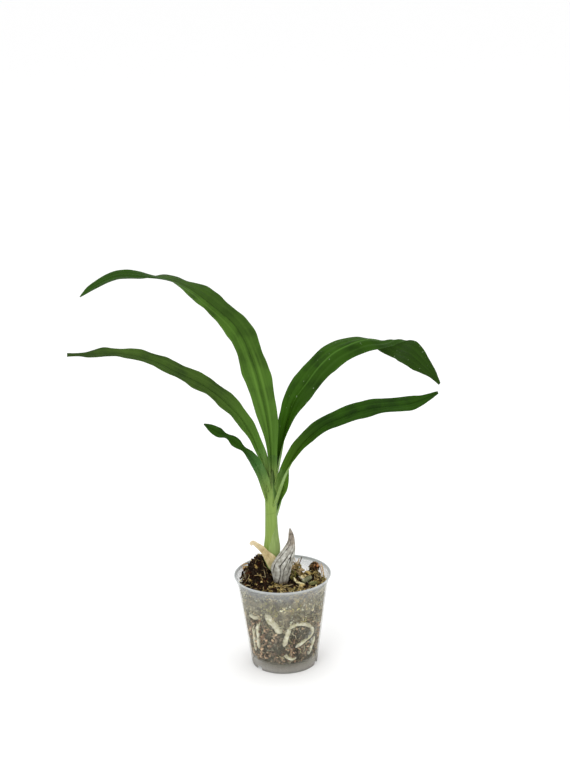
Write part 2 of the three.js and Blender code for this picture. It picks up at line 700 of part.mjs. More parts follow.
function pottingMix(stemRoom) {
  let solid = toSolid(mixBody());
  for (const chip of sunkChips()) solid = solid.add(toSolid(chip));
  solid = solid.intersect(toSolid(potRoom()));
  solid = solid.subtract(rootMass(CLEARANCE));
  solid = solid.subtract(stemRoom).subtract(toSolid(oldPseudobulb(CLEARANCE)));
  for (const chip of Object.values(LOOSE_CHIPS)) solid = solid.subtract(toSolid(looseChip(chip, CLEARANCE)));
  return largestPiece(solid);
}

// The whole plant in its pot

const stemRoom = toSolid(upright(
  STEM_RINGS.map(([x, y, z, a, b], i) => [x, y, z - (i === 0 ? CLEARANCE : 0), a + CLEARANCE, b + CLEARANCE]),
  STEM_SIDES,
));
const bulbRoom = toSolid(oldPseudobulb(CLEARANCE).translate(0, 0, -CLEARANCE));
const bulb = toSolid(oldPseudobulb()).subtract(stemRoom);
const bract = largestPiece(toSolid(dryBract()).subtract(stemRoom).subtract(bulbRoom));
const roots = rootMass(0).subtract(stemRoom).subtract(bulbRoom);

function finish(colour, roughness, more = {}) {
  return new THREE.MeshStandardMaterial({ color: colour, roughness, metalness: 0, ...more });
}

const LEAF_COLOURS = {
  leaf_tall_left: 0x4a6e2c,
  leaf_low_left: 0x436529,
  leaf_small_left: 0x3f6426,
  leaf_big_right: 0x37621d,
  leaf_low_right: 0x345a1f,
  leaf_small_right: 0x3b6a22,
};

const group = new THREE.Group();

function place(name, geometry, material) {
  const mesh = new THREE.Mesh(geometry, material);
  mesh.name = name;
  group.add(mesh);
}

place('pot', pot(), finish(0xd5d9d8, 0.35, { transparent: true, opacity: 0.4 }));
place('potting_mix', toGeometry(pottingMix(stemRoom)), finish(0x3a2a1c, 0.95));
place('roots', toGeometry(roots), finish(0xd3d1bb, 0.7));
place('leaf_sheaths', toGeometry(leafSheaths()), finish(0x8fae5c, 0.5));
for (const name of Object.keys(LEAVES)) place(name, leafBlade(name), finish(LEAF_COLOURS[name], 0.45));
place('old_pseudobulb', toGeometry(bulb), finish(0xa9a492, 0.85));
place('dry_bract', toGeometry(bract), finish(0xc0a274, 0.8));
for (const [name, chip] of Object.entries(LOOSE_CHIPS)) {
  place(name, looseChip(chip, 0), finish(chip.colour, 0.9));
}

// The origin moves from the pot's axis to the middle of the whole outline
const middle = new THREE.Box3().setFromObject(group, true).getCenter(new THREE.Vector3());
group.position.set(-middle.x, -middle.y, 0);

export default group;
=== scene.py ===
# The looks of a young orchid in a clear nursery pot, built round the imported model.
# Tables are in millimetres round the pot's axis, with Z up from the surface that the pot stands on,
# and are turned into metres in the model's frame where a mesh is made.

import math

import bpy
import numpy as np
from mathutils import Matrix, Vector, noise


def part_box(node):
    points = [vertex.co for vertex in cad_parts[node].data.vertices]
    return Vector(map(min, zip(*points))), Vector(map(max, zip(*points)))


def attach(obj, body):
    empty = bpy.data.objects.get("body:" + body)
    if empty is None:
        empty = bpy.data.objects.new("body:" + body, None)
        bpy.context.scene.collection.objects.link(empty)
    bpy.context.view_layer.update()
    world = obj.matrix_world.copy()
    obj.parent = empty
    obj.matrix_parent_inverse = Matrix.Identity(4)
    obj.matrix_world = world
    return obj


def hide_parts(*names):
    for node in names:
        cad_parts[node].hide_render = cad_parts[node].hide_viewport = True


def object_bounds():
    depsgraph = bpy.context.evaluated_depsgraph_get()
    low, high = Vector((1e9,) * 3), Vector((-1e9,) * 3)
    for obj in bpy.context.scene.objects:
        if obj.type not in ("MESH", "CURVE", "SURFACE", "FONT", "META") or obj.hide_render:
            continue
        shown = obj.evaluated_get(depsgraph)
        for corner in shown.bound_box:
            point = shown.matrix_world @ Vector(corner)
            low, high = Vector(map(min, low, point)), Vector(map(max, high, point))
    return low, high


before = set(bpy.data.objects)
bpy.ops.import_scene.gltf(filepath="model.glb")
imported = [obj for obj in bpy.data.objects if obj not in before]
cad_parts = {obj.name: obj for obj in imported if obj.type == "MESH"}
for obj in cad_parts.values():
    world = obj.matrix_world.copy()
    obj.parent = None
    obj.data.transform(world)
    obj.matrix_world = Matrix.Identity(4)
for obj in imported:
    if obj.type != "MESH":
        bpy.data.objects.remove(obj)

cad_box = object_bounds()

# The frame's own places

MM = 0.001
POT_LOW, POT_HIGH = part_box("pot")
POT_AXIS = np.array([(POT_LOW.x + POT_HIGH.x) / 2, (POT_LOW.y + POT_HIGH.y) / 2, 0.0])
BOX_LOW = np.array(cad_box[0]) + 0.05 * MM
BOX_HIGH = np.array(cad_box[1]) - 0.05 * MM

# Driving dimensions of the pot, as built

POT_HEIGHT = 88
RIM_RADIUS = 45
WALL_TOP_RADIUS = 42.9
FOOT_RADIUS = 30.6
WALL = 0.9
FLARE_HEIGHT = 12
FLARE_FOOT = POT_HEIGHT - FLARE_HEIGHT
LIP = 1.3
FLOOR_TOP = 9
FLOOR = 1
NOTCH_ANGLES = [100, 219, 341]
NOTCH_WIDTH = 7
NOTCH_HEIGHT = 4
DRAIN_RADIUS = 3.5
DRAIN_COUNT = 6
DRAIN_CIRCLE = 20
DRAIN_SIDES = 40
POT_SIDES = 180

# Driving dimensions of the mix

MIX_LEVEL = 76
MIX_SLOPE = 0.05
MOUNDS = [
    (-20, 19, 23.5, 12),
    (-32, 11, 11, 9),
    (12.5, 15, 12, 5),
    (29, 14, 7, 12),
    (15, 33, -5, 8),
]

# The stem's rings are (x, y, z, half width, half depth)

STEM_RINGS = [
    (-7.5, 17.0, 78.0, 4.6, 4.0),
    (-8.6, 17.8, 84.0, 6.6, 5.4),
    (-9.2, 18.0, 92.0, 8.0, 6.2),
    (-9.3, 18.0, 100.0, 7.9, 6.0),
    (-9.0, 18.0, 108.0, 7.8, 5.6),
    (-8.9, 18.0, 118.0, 6.6, 5.1),
    (-9.0, 18.0, 132.0, 5.9, 4.7),
    (-8.7, 18.0, 146.0, 5.8, 4.5),
    (-8.3, 18.0, 158.0, 6.0, 4.3),
    (-7.8, 18.0, 168.0, 5.2, 3.8),
    (-7.2, 18.3, 177.0, 3.6, 2.8),
    (-6.8, 18.6, 183.0, 1.4, 1.2),
]

# Each leaf is a list of stations from its foot in the stem to its tip. A station is the midrib's
# place x, y, z, half the blade's width, the turn of the upper face about the midrib, away from
# facing the front, the angle by which the sides fold up from the crease, in degrees, and the
# crease's place across the blade, from -1 to 1, which is the midrib unless it is given.

LEAVES = {
    "leaf_tall_left": dict(joint_at=1, ripple=0.8, ripples=7, phase=0.4, stations=[
        (-7.8, 19, 172, 6, 30, 58),
        (-7.2, 19.5, 197, 7.2, 22, 50),
        (-9, 21, 226, 9.8, 12, 36),
        (-13.5, 24, 252, 11.9, 4, 22),
        (-22.6, 29, 287.2, 12.5, 0, 14),
        (-35.6, 34, 316.6, 11.6, 14, 12),
        (-57.8, 41, 336.8, 12, 34, 12),
        (-78.2, 48, 351.2, 12, 60, 12),
        (-98, 55, 358.2, 11.6, 77, 12),
        (-123, 60, 360.2, 10.4, 104, 12),
        (-141.5, 63, 360.1, 8.8, 114, 12),
        (-151, 64, 357.6, 7.6, 117, 12),
        (-160.4, 65, 353.2, 6.2, 118, 10),
        (-170, 66, 347.4, 4.6, 119, 10),
        (-179.8, 67, 340, 0.7, 120, 10),
    ]),
    "leaf_low_left": dict(joint_at=2, ripple=0.4, ripples=8, phase=1.1, stations=[
        (-10.8, 17.5, 164, 5, 40, 55),
        (-13.4, 16.5, 187, 5.8, 40, 50),
        (-18.8, 14.5, 205, 7, 35, 42),
        (-25.4, 12, 222.3, 7.4, 28, 34),
        (-34.5, 9, 239.4, 8.3, 26, 25),
        (-47.4, 5, 255.9, 9, 30, 18),
        (-62.1, 1, 270.2, 9.2, 36, 16),
        (-77.6, -3, 281.2, 9.3, 38, 14),
        (-90.6, -6, 289.2, 8.9, 44, 14),
        (-103.2, -9, 297.3, 8.6, 46, 14),
        (-120.5, -12, 305, 7.7, 50, 12),
        (-138, -14, 309, 6.6, 50, 12),
        (-152, -15, 309.8, 6, 48, 12),
        (-166.2, -16, 309.2, 4, 50, 10),
        (-184.6, -17, 309, 2.4, 50, 10),
    ]),
    "leaf_small_left": dict(joint_at=2, ripple=0.2, ripples=3, phase=0.0, stations=[
        (-12, 16.8, 155, 5.4, 36, 46),
        (-15.4, 11.8, 176, 6.6, 30, 34),
        (-20.8, 7.9, 191.5, 6, 26, 28),
        (-26.9, 6.7, 202.4, 4.9, 34, 22),
        (-32.7, 6.7, 208.6, 4.4, 56, 16),
        (-40.4, 6, 216, 5.1, 22, 14),
        (-47.7, 5, 222, 3.7, 60, 14),
        (-54.9, 3, 227, 4.7, 16, 14),
        (-61, 1.5, 231.6, 3.7, 10, 12),
        (-67.2, 0, 236, 0.8, 10, 10),
    ]),
    "leaf_big_right": dict(joint_at=1, ripple=0.7, ripples=6, phase=2.0, stations=[
        (-6, 19.4, 170, 6, -30, 58),
        (-0.9, 22.6, 194, 6.8, -34, 62),
        (3, 25, 212, 8.4, -26, 58),
        (8.5, 27, 231, 10.3, -14, 44),
        (15.2, 29, 247.3, 11.4, -6, 26),
        (26.8, 31.5, 262.4, 12, -8, 6),
        (38.4, 34.5, 276.2, 12.6, -14, -10),
        (52, 38.5, 287, 13, -22, -20),
        (66.9, 42.5, 293, 12.9, -34, -22),
        (82.2, 47, 295.4, 12.8, -54, -24),
        (97, 54, 291.4, 12.2, -88, -30),
        (108.5, 61, 286.9, 12, -116, -45, 0.55),
        (118.2, 67.5, 280.6, 12, -150, -15, 0.9),
        (127.3, 74, 273.2, 11.2, -165, 0, 0.3),
        (138.9, 79, 260.4, 8.2, -172, 6),
        (147, 82, 250.3, 4.2, -175, 8),
        (153.1, 84, 241.3, 0.7, -178, 8),
    ]),
    "leaf_low_right": dict(joint_at=2, ripple=0.6, ripples=7, phase=2.6, stations=[
        (-6.5, 16.5, 150, 5.6, -52, 58),
        (-0.4, 14.5, 169.6, 6.6, -52, 54),
        (4.8, 12, 184.4, 7, -48, 50),
        (11.7, 9.5, 198.5, 7.6, -40, 42),
        (20, 6.5, 211.5, 7.8, -32, 34),
        (30.9, 3, 223.5, 7.9, -30, 26),
        (42.4, 0, 232.8, 8.1, -30, 20),
        (58.4, -3, 240.7, 8.6, -30, 16),
        (70.9, -6, 246, 8.9, -26, 14),
        (82.5, -8, 249.5, 8.7, -28, 14),
        (94.1, -10, 251.7, 8.4, -38, 14),
        (112.7, -12, 253.7, 7.8, -34, 12),
        (121.6, -13, 255.4, 6.7, -18, 12),
        (130.5, -14, 259, 4.4, -10, 12),
        (142.9, -15, 265.3, 0.7, -10, 10),
    ]),
    "leaf_small_right": dict(joint_at=1, ripple=0.3, ripples=2, phase=0.8, stations=[
        (-6, 19.6, 137, 5.2, -46, 55),
        (-1.4, 22, 151.5, 6.2, -42, 44),
        (2, 24, 163.5, 6.9, -30, 26),
        (4.8, 26, 174.5, 5, -26, 20),
        (7.6, 28, 185.5, 0.7, -24, 14),
    ]),
}
PLEAT = 0.055
PLEATS = 2.3
EDGE_LAG = 1.9
FRONT = np.array([0, -0.95, 0.31]) / math.hypot(0.95, 0.31)

BRACT = dict(ripple=0.2, ripples=2, phase=0, stations=[
    (-6.4, 9.6, 89.5, 5.0, -8, 20),
    (-10.6, 10.2, 97.5, 5.6, -4, 24),
    (-16.6, 10.4, 105.5, 3.6, 10, 30),
    (-23.0, 10.2, 112.6, 2.4, 20, 26),
    (-26.6, 10.4, 115.0, 2.3, 20, 20),
    (-29.2, 10.8, 112.9, 1.7, 20, 16),
])

# The old pseudobulb's rings are (x, y, z, half width, half depth)

BULB_RINGS = [
    (-1.6, 6.6, 75.0, 6.2, 4.8),
    (-1.6, 6.6, 80.5, 7.4, 5.4),
    (-1.2, 6.8, 86.5, 8.8, 6.2),
    (-0.6, 7.0, 92.5, 9.5, 6.4),
    (2.0, 7.4, 99.0, 8.6, 5.8),
    (4.6, 7.8, 104.5, 7.2, 5.0),
    (7.0, 8.2, 109.5, 5.4, 4.0),
    (8.6, 8.6, 115.0, 3.6, 3.0),
    (9.0, 8.8, 119.6, 2.8, 2.4),
    (8.6, 8.8, 124.4, 2.1, 1.8),
    (8.0, 8.8, 128.8, 0.8, 0.7),
]

# A root runs from the rhizome to the pot's wall and then along it, through points of angle round
# the pot in degrees, height and distance in from the wall.

RHIZOME = dict(x=-5, y=13.5, z=69, length=13, width=8, height=5.2)
ROOTS = [
    (1.5, [(231, 57, 4), (224, 55, 0.3), (215, 54.5, 0.3), (206, 54, 0.3)]),
    (1.5, [(230, 52, 6), (227, 48, 0.3), (223, 36, 0.3), (220, 21, 0.3)]),
    (1.4, [(218, 47, 6), (215, 42, 0.3), (212, 30, 0.3), (209, 17, 0.3)]),
    (3.1, [(241, 63, 5), (247, 58, 0.3), (256, 51, 0.3), (266, 42, 0.3)]),
    (1.9, [(280, 50, 5), (277, 45, 0.3), (273, 36, 0.3), (269, 28, 0.3)]),
    (1.6, [(274, 44, 5), (281, 49, 0.3), (291, 51, 0.3), (308, 48, 0.3), (322, 40, 0.3),
           (318, 35, 0.3), (304, 31, 0.3), (289, 26, 0.3)]),
    (1.5, [(331, 36, 6), (328, 30, 0.3), (323, 22, 0.3), (317, 14, 0.3)]),
    (1.3, [(268, 23, 5), (273, 17.5, 0.3), (282, 14.5, 0.3), (291, 15, 0.3)]),
    (1.9, [(40, 50, 5), (48, 42, 0.3), (62, 34, 0.3), (70, 22, 0.3)]),
    (2.0, [(110, 52, 5), (122, 44, 0.3), (126, 30, 0.3), (120, 16, 0.3)]),
    (1.8, [(165, 44, 5), (172, 36, 0.3), (168, 24, 0.3), (176, 14, 0.3)]),
]


# Numbers and curves

def smooth_step(low, high, value):
    t = np.clip((value - low) / (high - low), 0, 1)
    return t * t * (3 - 2 * t)


def wall_outside(z):
    return FOOT_RADIUS + (WALL_TOP_RADIUS - FOOT_RADIUS) * z / POT_HEIGHT


def flare(z):
    return (RIM_RADIUS - WALL_TOP_RADIUS) * np.maximum(0, (z - FLARE_FOOT) / FLARE_HEIGHT) ** 2


def wall_inside(z):
    return wall_outside(z) + flare(z) - WALL


def unit(vectors):
    return vectors / np.maximum(np.linalg.norm(vectors, axis=-1, keepdims=True), 1e-12)


def smooth_rows(rows):
    """A smooth curve through rows of numbers, spaced by the distance between their places."""
    width = max(len(row) for row in rows)
    rows = np.array([list(row) + [0] * (width - len(row)) for row in rows], float)
    at = np.concatenate([[0], np.cumsum(np.linalg.norm(np.diff(rows[:, :3], axis=0), axis=1))])
    ahead = np.minimum(np.arange(len(rows)) + 1, len(rows) - 1)
    behind = np.maximum(np.arange(len(rows)) - 1, 0)
    slopes = (rows[ahead] - rows[behind]) / (at[ahead] - at[behind])[:, None]

    def at_distance(distances):
        d = np.clip(distances, 0, at[-1])
        i = np.clip(np.searchsorted(at, d) - 1, 0, len(rows) - 2)
        span = (at[i + 1] - at[i])[:, None]
        t = (d - at[i])[:, None] / span
        return ((1 + 2 * t) * (1 - t) ** 2 * rows[i] + t * (1 - t) ** 2 * span * slopes[i]
                + t * t * (3 - 2 * t) * rows[i + 1] + t * t * (t - 1) * span * slopes[i + 1])

    return at, at_distance


def round_angles(sides):
    return 2 * math.pi * np.arange(sides) / sides


def ruffle(share, seed):
    """A smooth uneven wave, between about -1 and 1, for the edges of a leaf."""
    random = np.random.default_rng(seed)
    wave = np.zeros_like(share)
    for turns in (5.5, 9.5, 15.0, 23.0):
        wave += np.sin(2 * math.pi * (turns * share + random.random())) / turns ** 0.6
    return wave


def rough(points, size, seed=0.0):
    """Cloud-like noise at each point, between about -1 and 1, for lumps of that size."""
    shift = Vector((seed * 17.3, seed * 5.1, seed * 9.7))
    return np.array([noise.noise(Vector(p) / size + shift) for p in points])


# Random draws

def pick(options, random):
    return options[random.integers(len(options))]


def spot(radius, random):
    """A place within that distance of the pot's axis, anywhere as likely as elsewhere."""
    r, a = radius * math.sqrt(random.random()), 2 * math.pi * random.random()
    return r * math.cos(a), r * math.sin(a)


def stretch_of(size, random, *limits):
    """A stretch along each axis, between the two limits given for it."""
    return size * np.array([random.uniform(low, high) for low, high in limits])


# Meshes

def add_object(name, data):
    piece = bpy.data.objects.new(name, data)
    bpy.context.scene.collection.objects.link(piece)
    return piece


def make_mesh(name, points, faces, material, slot, tints=None, **values):
    """One visible piece from points in millimetres round the pot's axis."""
    places = np.clip(np.asarray(points, float) * MM + POT_AXIS, BOX_LOW, BOX_HIGH)
    mesh = bpy.data.meshes.new(name)
    mesh.from_pydata(places.tolist(), [], [list(map(int, f)) for f in faces])
    mesh.polygons.foreach_set("use_smooth", [True] * len(mesh.polygons))
    for key, numbers in values.items():
        mesh.attributes.new(key, "FLOAT", "POINT").data.foreach_set("value", np.asarray(numbers, np.float32))
    if tints is not None:
        colours = np.ones((len(places), 4), np.float32)
        colours[:, :3] = tints
        mesh.attributes.new("tint", "FLOAT_COLOR", "POINT").data.foreach_set("color", colours.ravel())
    mesh.materials.append(material)
    mesh.validate()
    mesh.update()
    piece = add_object(name, mesh)
    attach(piece, "root")
    return piece


def grid_faces(rows, columns, closed=False, start=0, flip=False):
    """Quads over a grid of points. A closed grid joins its last column to its first."""
    i, j = np.meshgrid(np.arange(rows - 1), np.arange(columns if closed else columns - 1), indexing="ij")
    k = (j + 1) % columns
    quads = np.stack([i * columns + j, i * columns + k, (i + 1) * columns + k, (i + 1) * columns + j], -1)
    quads = quads.reshape(-1, 4) + start
    return (quads[:, ::-1] if flip else quads).tolist()


def closed_tube(rings):
    """Points and faces of a closed body through rings of points, with a fan at each end."""
    rows, columns = rings.shape[:2]
    points = np.concatenate([rings.reshape(-1, 3), rings[0].mean(0)[None], rings[-1].mean(0)[None]])
    faces = grid_faces(rows, columns, closed=True)
    last = (rows - 1) * columns
    for s in range(columns):
        n = (s + 1) % columns
        faces.append([rows * columns, n, s])
        faces.append([rows * columns + 1, last + s, last + n])
    return points, faces


def tube_rings(path, radii, sides):
    """Round rings along a path, each turned as little as can be from the one before."""
    path = np.asarray(path, float)
    tangents = unit(np.gradient(path, axis=0))
    normal = np.array([0.0, 0.0, 1.0]) if abs(tangents[0][2]) < 0.9 else np.array([1.0, 0.0, 0.0])
    angles = round_angles(sides)[:, None]
    rings = []
    for place, tangent, radius in zip(path, tangents, radii):
        normal = unit(normal - tangent * normal.dot(tangent))
        binormal = np.cross(tangent, normal)
        rings.append(place + radius * (np.cos(angles) * normal + np.sin(angles) * binormal))
    return np.array(rings)


def upright_rings(rows, grow, angle):
    """Rings of an upright body, from rows of place, half width and half depth."""
    x, y, z, wide, deep = (column[:, None] for column in rows.T)
    return np.stack([x + wide * grow * np.cos(angle), y + deep * grow * np.sin(angle), z + 0 * angle], -1)


def level_ring(radius, z, sides, x=0, y=0):
    """A level ring of points round a spot."""
    angles = round_angles(sides)
    return np.stack([x + radius * np.cos(angles), y + radius * np.sin(angles), np.full(sides, z)], -1)


class Heap:
    """Many small bodies gathered into one mesh, each with a colour of its own."""

    def __init__(self):
        self.points, self.faces, self.tints, self.count = [], [], [], 0

    def add(self, points, faces, tint):
        self.points.append(points)
        self.faces.extend([[v + self.count for v in f] for f in faces])
        self.tints.append(np.tile(tint, (len(points), 1)))
        self.count += len(points)

    def piece(self, name, material, slot):
        return make_mesh(name, np.concatenate(self.points), self.faces, material, slot,
                         tints=np.concatenate(self.tints))


# Colours and materials

def linear(hex_colour, strength=1.0):
    """A colour written as 0xRRGGBB, as light."""
    parts = [((hex_colour >> shift) & 255) / 255 for shift in (16, 8, 0)]
    return [strength * (c / 12.92 if c <= 0.04045 else ((c + 0.055) / 1.055) ** 2.4) for c in parts]


def between(first, second, share):
    """Colours from the first to the second, as light, for shares from 0 to 1."""
    return np.array(linear(first)) * (1 - share) + np.array(linear(second)) * share


class Shader:
    """A material's node tree, with a short call for each kind of node that the looks use."""

    def __init__(self, name, roughness, specular=0.5):
        self.material = bpy.data.materials.new(name)
        self.material.use_nodes = True
        self.tree = self.material.node_tree
        self.surface = self.tree.nodes["Principled BSDF"]
        self.surface.inputs["Roughness"].default_value = roughness
        self.surface.inputs["Specular IOR Level"].default_value = specular
        self.place = self.tree.nodes.new("ShaderNodeTexCoord").outputs["Object"]

    def put(self, socket, value):
        if isinstance(value, bpy.types.NodeSocket):
            self.tree.links.new(value, socket)
        elif socket.type == "RGBA":
            socket.default_value = (*value, 1)
        else:
            socket.default_value = value

    def set(self, name, value):
        self.put(self.surface.inputs[name], value)

    def attribute(self, name, output="Fac"):
        node = self.tree.nodes.new("ShaderNodeAttribute")
        node.attribute_name = name
        return node.outputs[output]

    def noise(self, size, detail=3, stretch=(1, 1, 1)):
        """Noise with lumps of that size in millimetres, stretched along each axis."""
        scaled = self.tree.nodes.new("ShaderNodeMapping")
        scaled.inputs["Scale"].default_value = [1 / (size * MM * s) for s in stretch]
        self.put(scaled.inputs["Vector"], self.place)
        node = self.tree.nodes.new("ShaderNodeTexNoise")
        node.inputs["Scale"].default_value = 1
        node.inputs["Detail"].default_value = detail
        self.put(node.inputs["Vector"], scaled.outputs["Vector"])
        return node.outputs["Fac"]

    def ramp(self, factor, stops):
        """Colours or greys along a factor, from (place, colour) pairs."""
        node = self.tree.nodes.new("ShaderNodeValToRGB")
        self.put(node.inputs["Fac"], factor)
        band = node.color_ramp
        while len(band.elements) < len(stops):
            band.elements.new(0.5)
        for element, (place, colour) in zip(band.elements, stops):
            element.position = place
            element.color = (*(colour if isinstance(colour, (list, tuple)) else [colour] * 3), 1)
        return node.outputs["Color"]

    def colours(self, factor, stops):
        """Colours along a factor, from pairs of a place and a colour written as 0xRRGGBB."""
        return self.ramp(factor, [(place, linear(colour)) for place, colour in stops])

    def math(self, operation, *numbers):
        node = self.tree.nodes.new("ShaderNodeMath")
        node.operation = operation
        for socket, number in zip(node.inputs, numbers):
            self.put(socket, number)
        return node.outputs[0]

    def mix(self, factor, a, b):
        node = self.tree.nodes.new("ShaderNodeMix")
        node.data_type = "RGBA"
        self.put(node.inputs[0], factor)
        self.put(node.inputs[6], a)
        self.put(node.inputs[7], b)
        return node.outputs[2]

    def over(self, base, colour, factor, stops, strength=1.0):
        """A colour laid over another, as strongly as the stops say along a factor."""
        return self.mix(self.ramp(factor, stops), base, linear(colour, strength))

    def bump(self, height, depth):
        """Relief of that depth in millimetres."""
        node = self.tree.nodes.new("ShaderNodeBump")
        node.inputs["Distance"].default_value = depth * MM
        self.put(node.inputs["Height"], height)
        self.set("Normal", node.outputs["Normal"])


def leaf_material(name, blade, dark, light, foot, outside, midrib, under, ribs=0.0, rib_end=0.5,
                  shade=(0.0, 0.0), painted_half_shade=(0.0, 0.0), specks=0.0):
    """A leaf with soft bands along it, a midrib, and a paler foot.

    ribs is the strength of a painted highlight, a pale band on each side of the midrib where the
    folded blade's walls catch the light, as far as rib_end. shade is how far the left and the right
    half are darkened near the foot as painted shade, and painted_half_shade is the same painted shade
    beyond the ribs. outside is the colour of the underside near the foot, and under its colour above."""
    shader = Shader(name, roughness=0.46, specular=0.055)
    across = shader.attribute("across")
    along = shader.attribute("along")
    out = shader.math("ABSOLUTE", across)
    cloud = shader.noise(16, detail=3)
    wander = shader.math("MULTIPLY", cloud, 2.2)
    bands = shader.math("SINE", shader.math("ADD", shader.math("MULTIPLY", across, 13.0), wander))
    fine = shader.math("SINE", shader.math("MULTIPLY", across, 88.0))
    mottled = shader.ramp(cloud, [(0.32, linear(dark)), (0.5, linear(blade)), (0.7, linear(blade, 1.2))])
    banded = shader.over(mottled, light, bands, [(0.1, 0.0), (1.0, 0.3)])
    veined = shader.over(banded, light, fine, [(0.3, 0.0), (1.0, 0.13)])
    # Painted highlight: a pale band on each side of the midrib, where the walls of the folded blade catch the
    # light.
    rib_highlight = shader.ramp(out, [(0.13, 0.0), (0.22, ribs), (0.3, ribs), (0.42, 0.0)])
    rib_reach = shader.ramp(along, [(max(rib_end - 0.16, 0.02), 1.0), (rib_end, 0.0)])
    rib_lit = shader.mix(shader.math("MULTIPLY", rib_highlight, rib_reach), veined, linear(light, 1.1))
    # The midrib colour along the crease: painted shade in the groove where it is darker than the blade; on
    # the big right leaf it is the midrib's own paler colour.
    creased = shader.over(rib_lit, midrib, out, [(0.0, 0.8), (0.03, 0.6), (0.075, 0.0)])
    # Painted shade: one half of the blade darkened near the foot, where the inside of the fold lies in
    # shadow.
    near = shader.ramp(along, [(0.02, 1.0), (0.5, 0.0)])
    left_to_right = shader.math("MULTIPLY_ADD", across, 0.5, 0.5)
    left, right = shade
    side = shader.ramp(left_to_right, [(0.0, left), (0.42, left), (0.56, right), (1.0, right)])
    shaded = shader.mix(shader.math("MULTIPLY", side, near), creased, linear(dark, 0.45))
    # Painted shade: one half of the blade darkened beyond the ribs, where the fold turns it away from the
    # light.
    far_left, far_right = painted_half_shade
    far_side = shader.ramp(left_to_right, [
        (0.0, far_left), (0.46, far_left), (0.53, far_right), (1.0, far_right)])
    beyond = shader.ramp(along, [(max(rib_end - 0.1, 0.0), 0.0), (rib_end + 0.06, 1.0)])
    half_shaded = shader.mix(shader.math("MULTIPLY", far_side, beyond), shaded, linear(dark, 0.8))
    upper = shader.over(half_shaded, foot, along, [(0.0, 0.97), (0.1, 0.6), (0.34, 0.0)])
    back = shader.mix(shader.ramp(bands, [(0.1, 0.0), (1.0, 0.45)]), linear(under), linear(under, 1.35))
    clouded = shader.over(back, under, cloud, [(0.35, 0.35), (0.6, 0.0)], strength=0.7)
    below = shader.over(clouded, outside, along, [(0.0, 0.95), (0.12, 0.8), (0.4, 0.0)])
    sided = shader.mix(shader.attribute("under"), upper, below)
    speckled = shader.over(sided, 0x9aa88a, shader.noise(2.6, detail=0), [(0.8, 0.0), (0.82, specks)])
    shader.set("Base Color", speckled)
    relief = shader.math("MULTIPLY_ADD", bands, 0.4, shader.math("MULTIPLY", fine, 0.25))
    shader.bump(shader.math("ADD", relief, shader.noise(1.2, detail=3)), depth=0.07)
    return shader.material


def sheath_material():
    """Pale green sheaths with fine lines along them, whiter at the foot."""
    shader = Shader("pale sheath", roughness=0.42, specular=0.1)
    tint = shader.attribute("tint", "Color")
    lines = shader.noise(1.0, detail=3, stretch=(0.7, 0.7, 26))
    broad = shader.noise(5.0, detail=2, stretch=(0.7, 0.7, 8))
    lined = shader.over(tint, 0x4c6a2c, lines, [(0.4, 0.0), (0.72, 0.4)])
    lit = shader.over(lined, 0x9fb778, broad, [(0.45, 0.0), (0.75, 0.14)])
    shader.set("Base Color", lit)
    shader.bump(shader.math("ADD", lines, broad), depth=0.12)
    return shader.material


def bulb_material():
    """Shrivelled skin: grey-white folds with cracks between them darkened as painted shade, browner where it
    has rotted.
    """
    shader = Shader("shrivelled skin", roughness=0.85, specular=0.12)
    crack = shader.attribute("crack")
    height = shader.attribute("height")
    skin = shader.colours(shader.noise(3.2, detail=5), [(0.3, 0x86847a), (0.48, 0xacaaa0), (0.68, 0xd4d4cc)])
    flecked = shader.over(skin, 0x5b5142, shader.noise(0.8, detail=3), [(0.56, 0.0), (0.68, 0.7)])
    brown = shader.colours(shader.noise(1.6, detail=4), [(0.35, 0x3a2c20), (0.62, 0x8d755a)])
    rot = shader.ramp(height, [(0.02, 0.75), (0.1, 0.0), (0.6, 0.0), (0.74, 0.5), (0.9, 0.6), (1.0, 0.4)])
    aged = shader.mix(rot, flecked, brown)
    # Painted shade: the cracks between the folds are darkened almost to black.
    shader.set("Base Color", shader.over(aged, 0x231c15, crack, [(0.3, 0.0), (0.75, 0.95)]))
    shader.bump(shader.noise(0.9, detail=4), depth=0.3)
    return shader.material


def bract_material():
    shader = Shader("dry bract", roughness=0.62, specular=0.35)
    across = shader.attribute("across")
    veins = shader.math("SINE", shader.math("MULTIPLY", across, 34.0))
    dry = shader.colours(shader.noise(4.5, detail=4), [(0.3, 0xb5a274), (0.5, 0xcdbb8c), (0.72, 0xe2d4aa)])
    veined = shader.over(dry, 0x8d7a46, veins, [(0.3, 0.0), (1.0, 0.22)])
    along = shader.attribute("along")
    green_foot = shader.over(veined, 0x8f9a62, along, [(0.0, 0.5), (0.3, 0.0)])
    shader.set("Base Color", shader.over(green_foot, 0xe6d6b6, along, [(0.6, 0.0), (0.92, 0.6)]))
    shader.bump(shader.math("MULTIPLY_ADD", veins, 0.6, shader.noise(2.4)), depth=0.08)
    return shader.material


def bark_material(name, depth=0.35, contrast=0.75):
    """Bark and fibre, each piece with the colour it was given, darker in patches as painted shade for its
    pores and crevices.
    """
    shader = Shader(name, roughness=0.88, specular=0.07)
    tint = shader.attribute("tint", "Color")
    pore_shade = shader.noise(1.1, detail=5)
    # Painted shade: dark patches stand for the shade in the bark's pores and crevices.
    dark = shader.over(tint, 0x1c130c, pore_shade, [(0.34, contrast), (0.52, 0.0)])
    light = shader.over(dark, 0xc2a982, shader.noise(0.7, detail=3), [(0.58, 0.0), (0.75, 0.35)])
    shader.set("Base Color", light)
    shader.bump(shader.noise(0.8, detail=5), depth=depth)
    return shader.material


def root_material():
    shader = Shader("root skin", roughness=0.72, specular=0.3)
    skin = shader.colours(shader.noise(3, detail=5), [(0.3, 0xaea883), (0.48, 0xd3d0b4), (0.7, 0xf1f0e2)])
    stained = shader.over(skin, 0x9c8f62, shader.noise(6, detail=3), [(0.5, 0.0), (0.7, 0.6)])
    shader.set("Base Color", stained)
    shader.bump(shader.noise(0.7, detail=4), depth=0.15)
    return shader.material


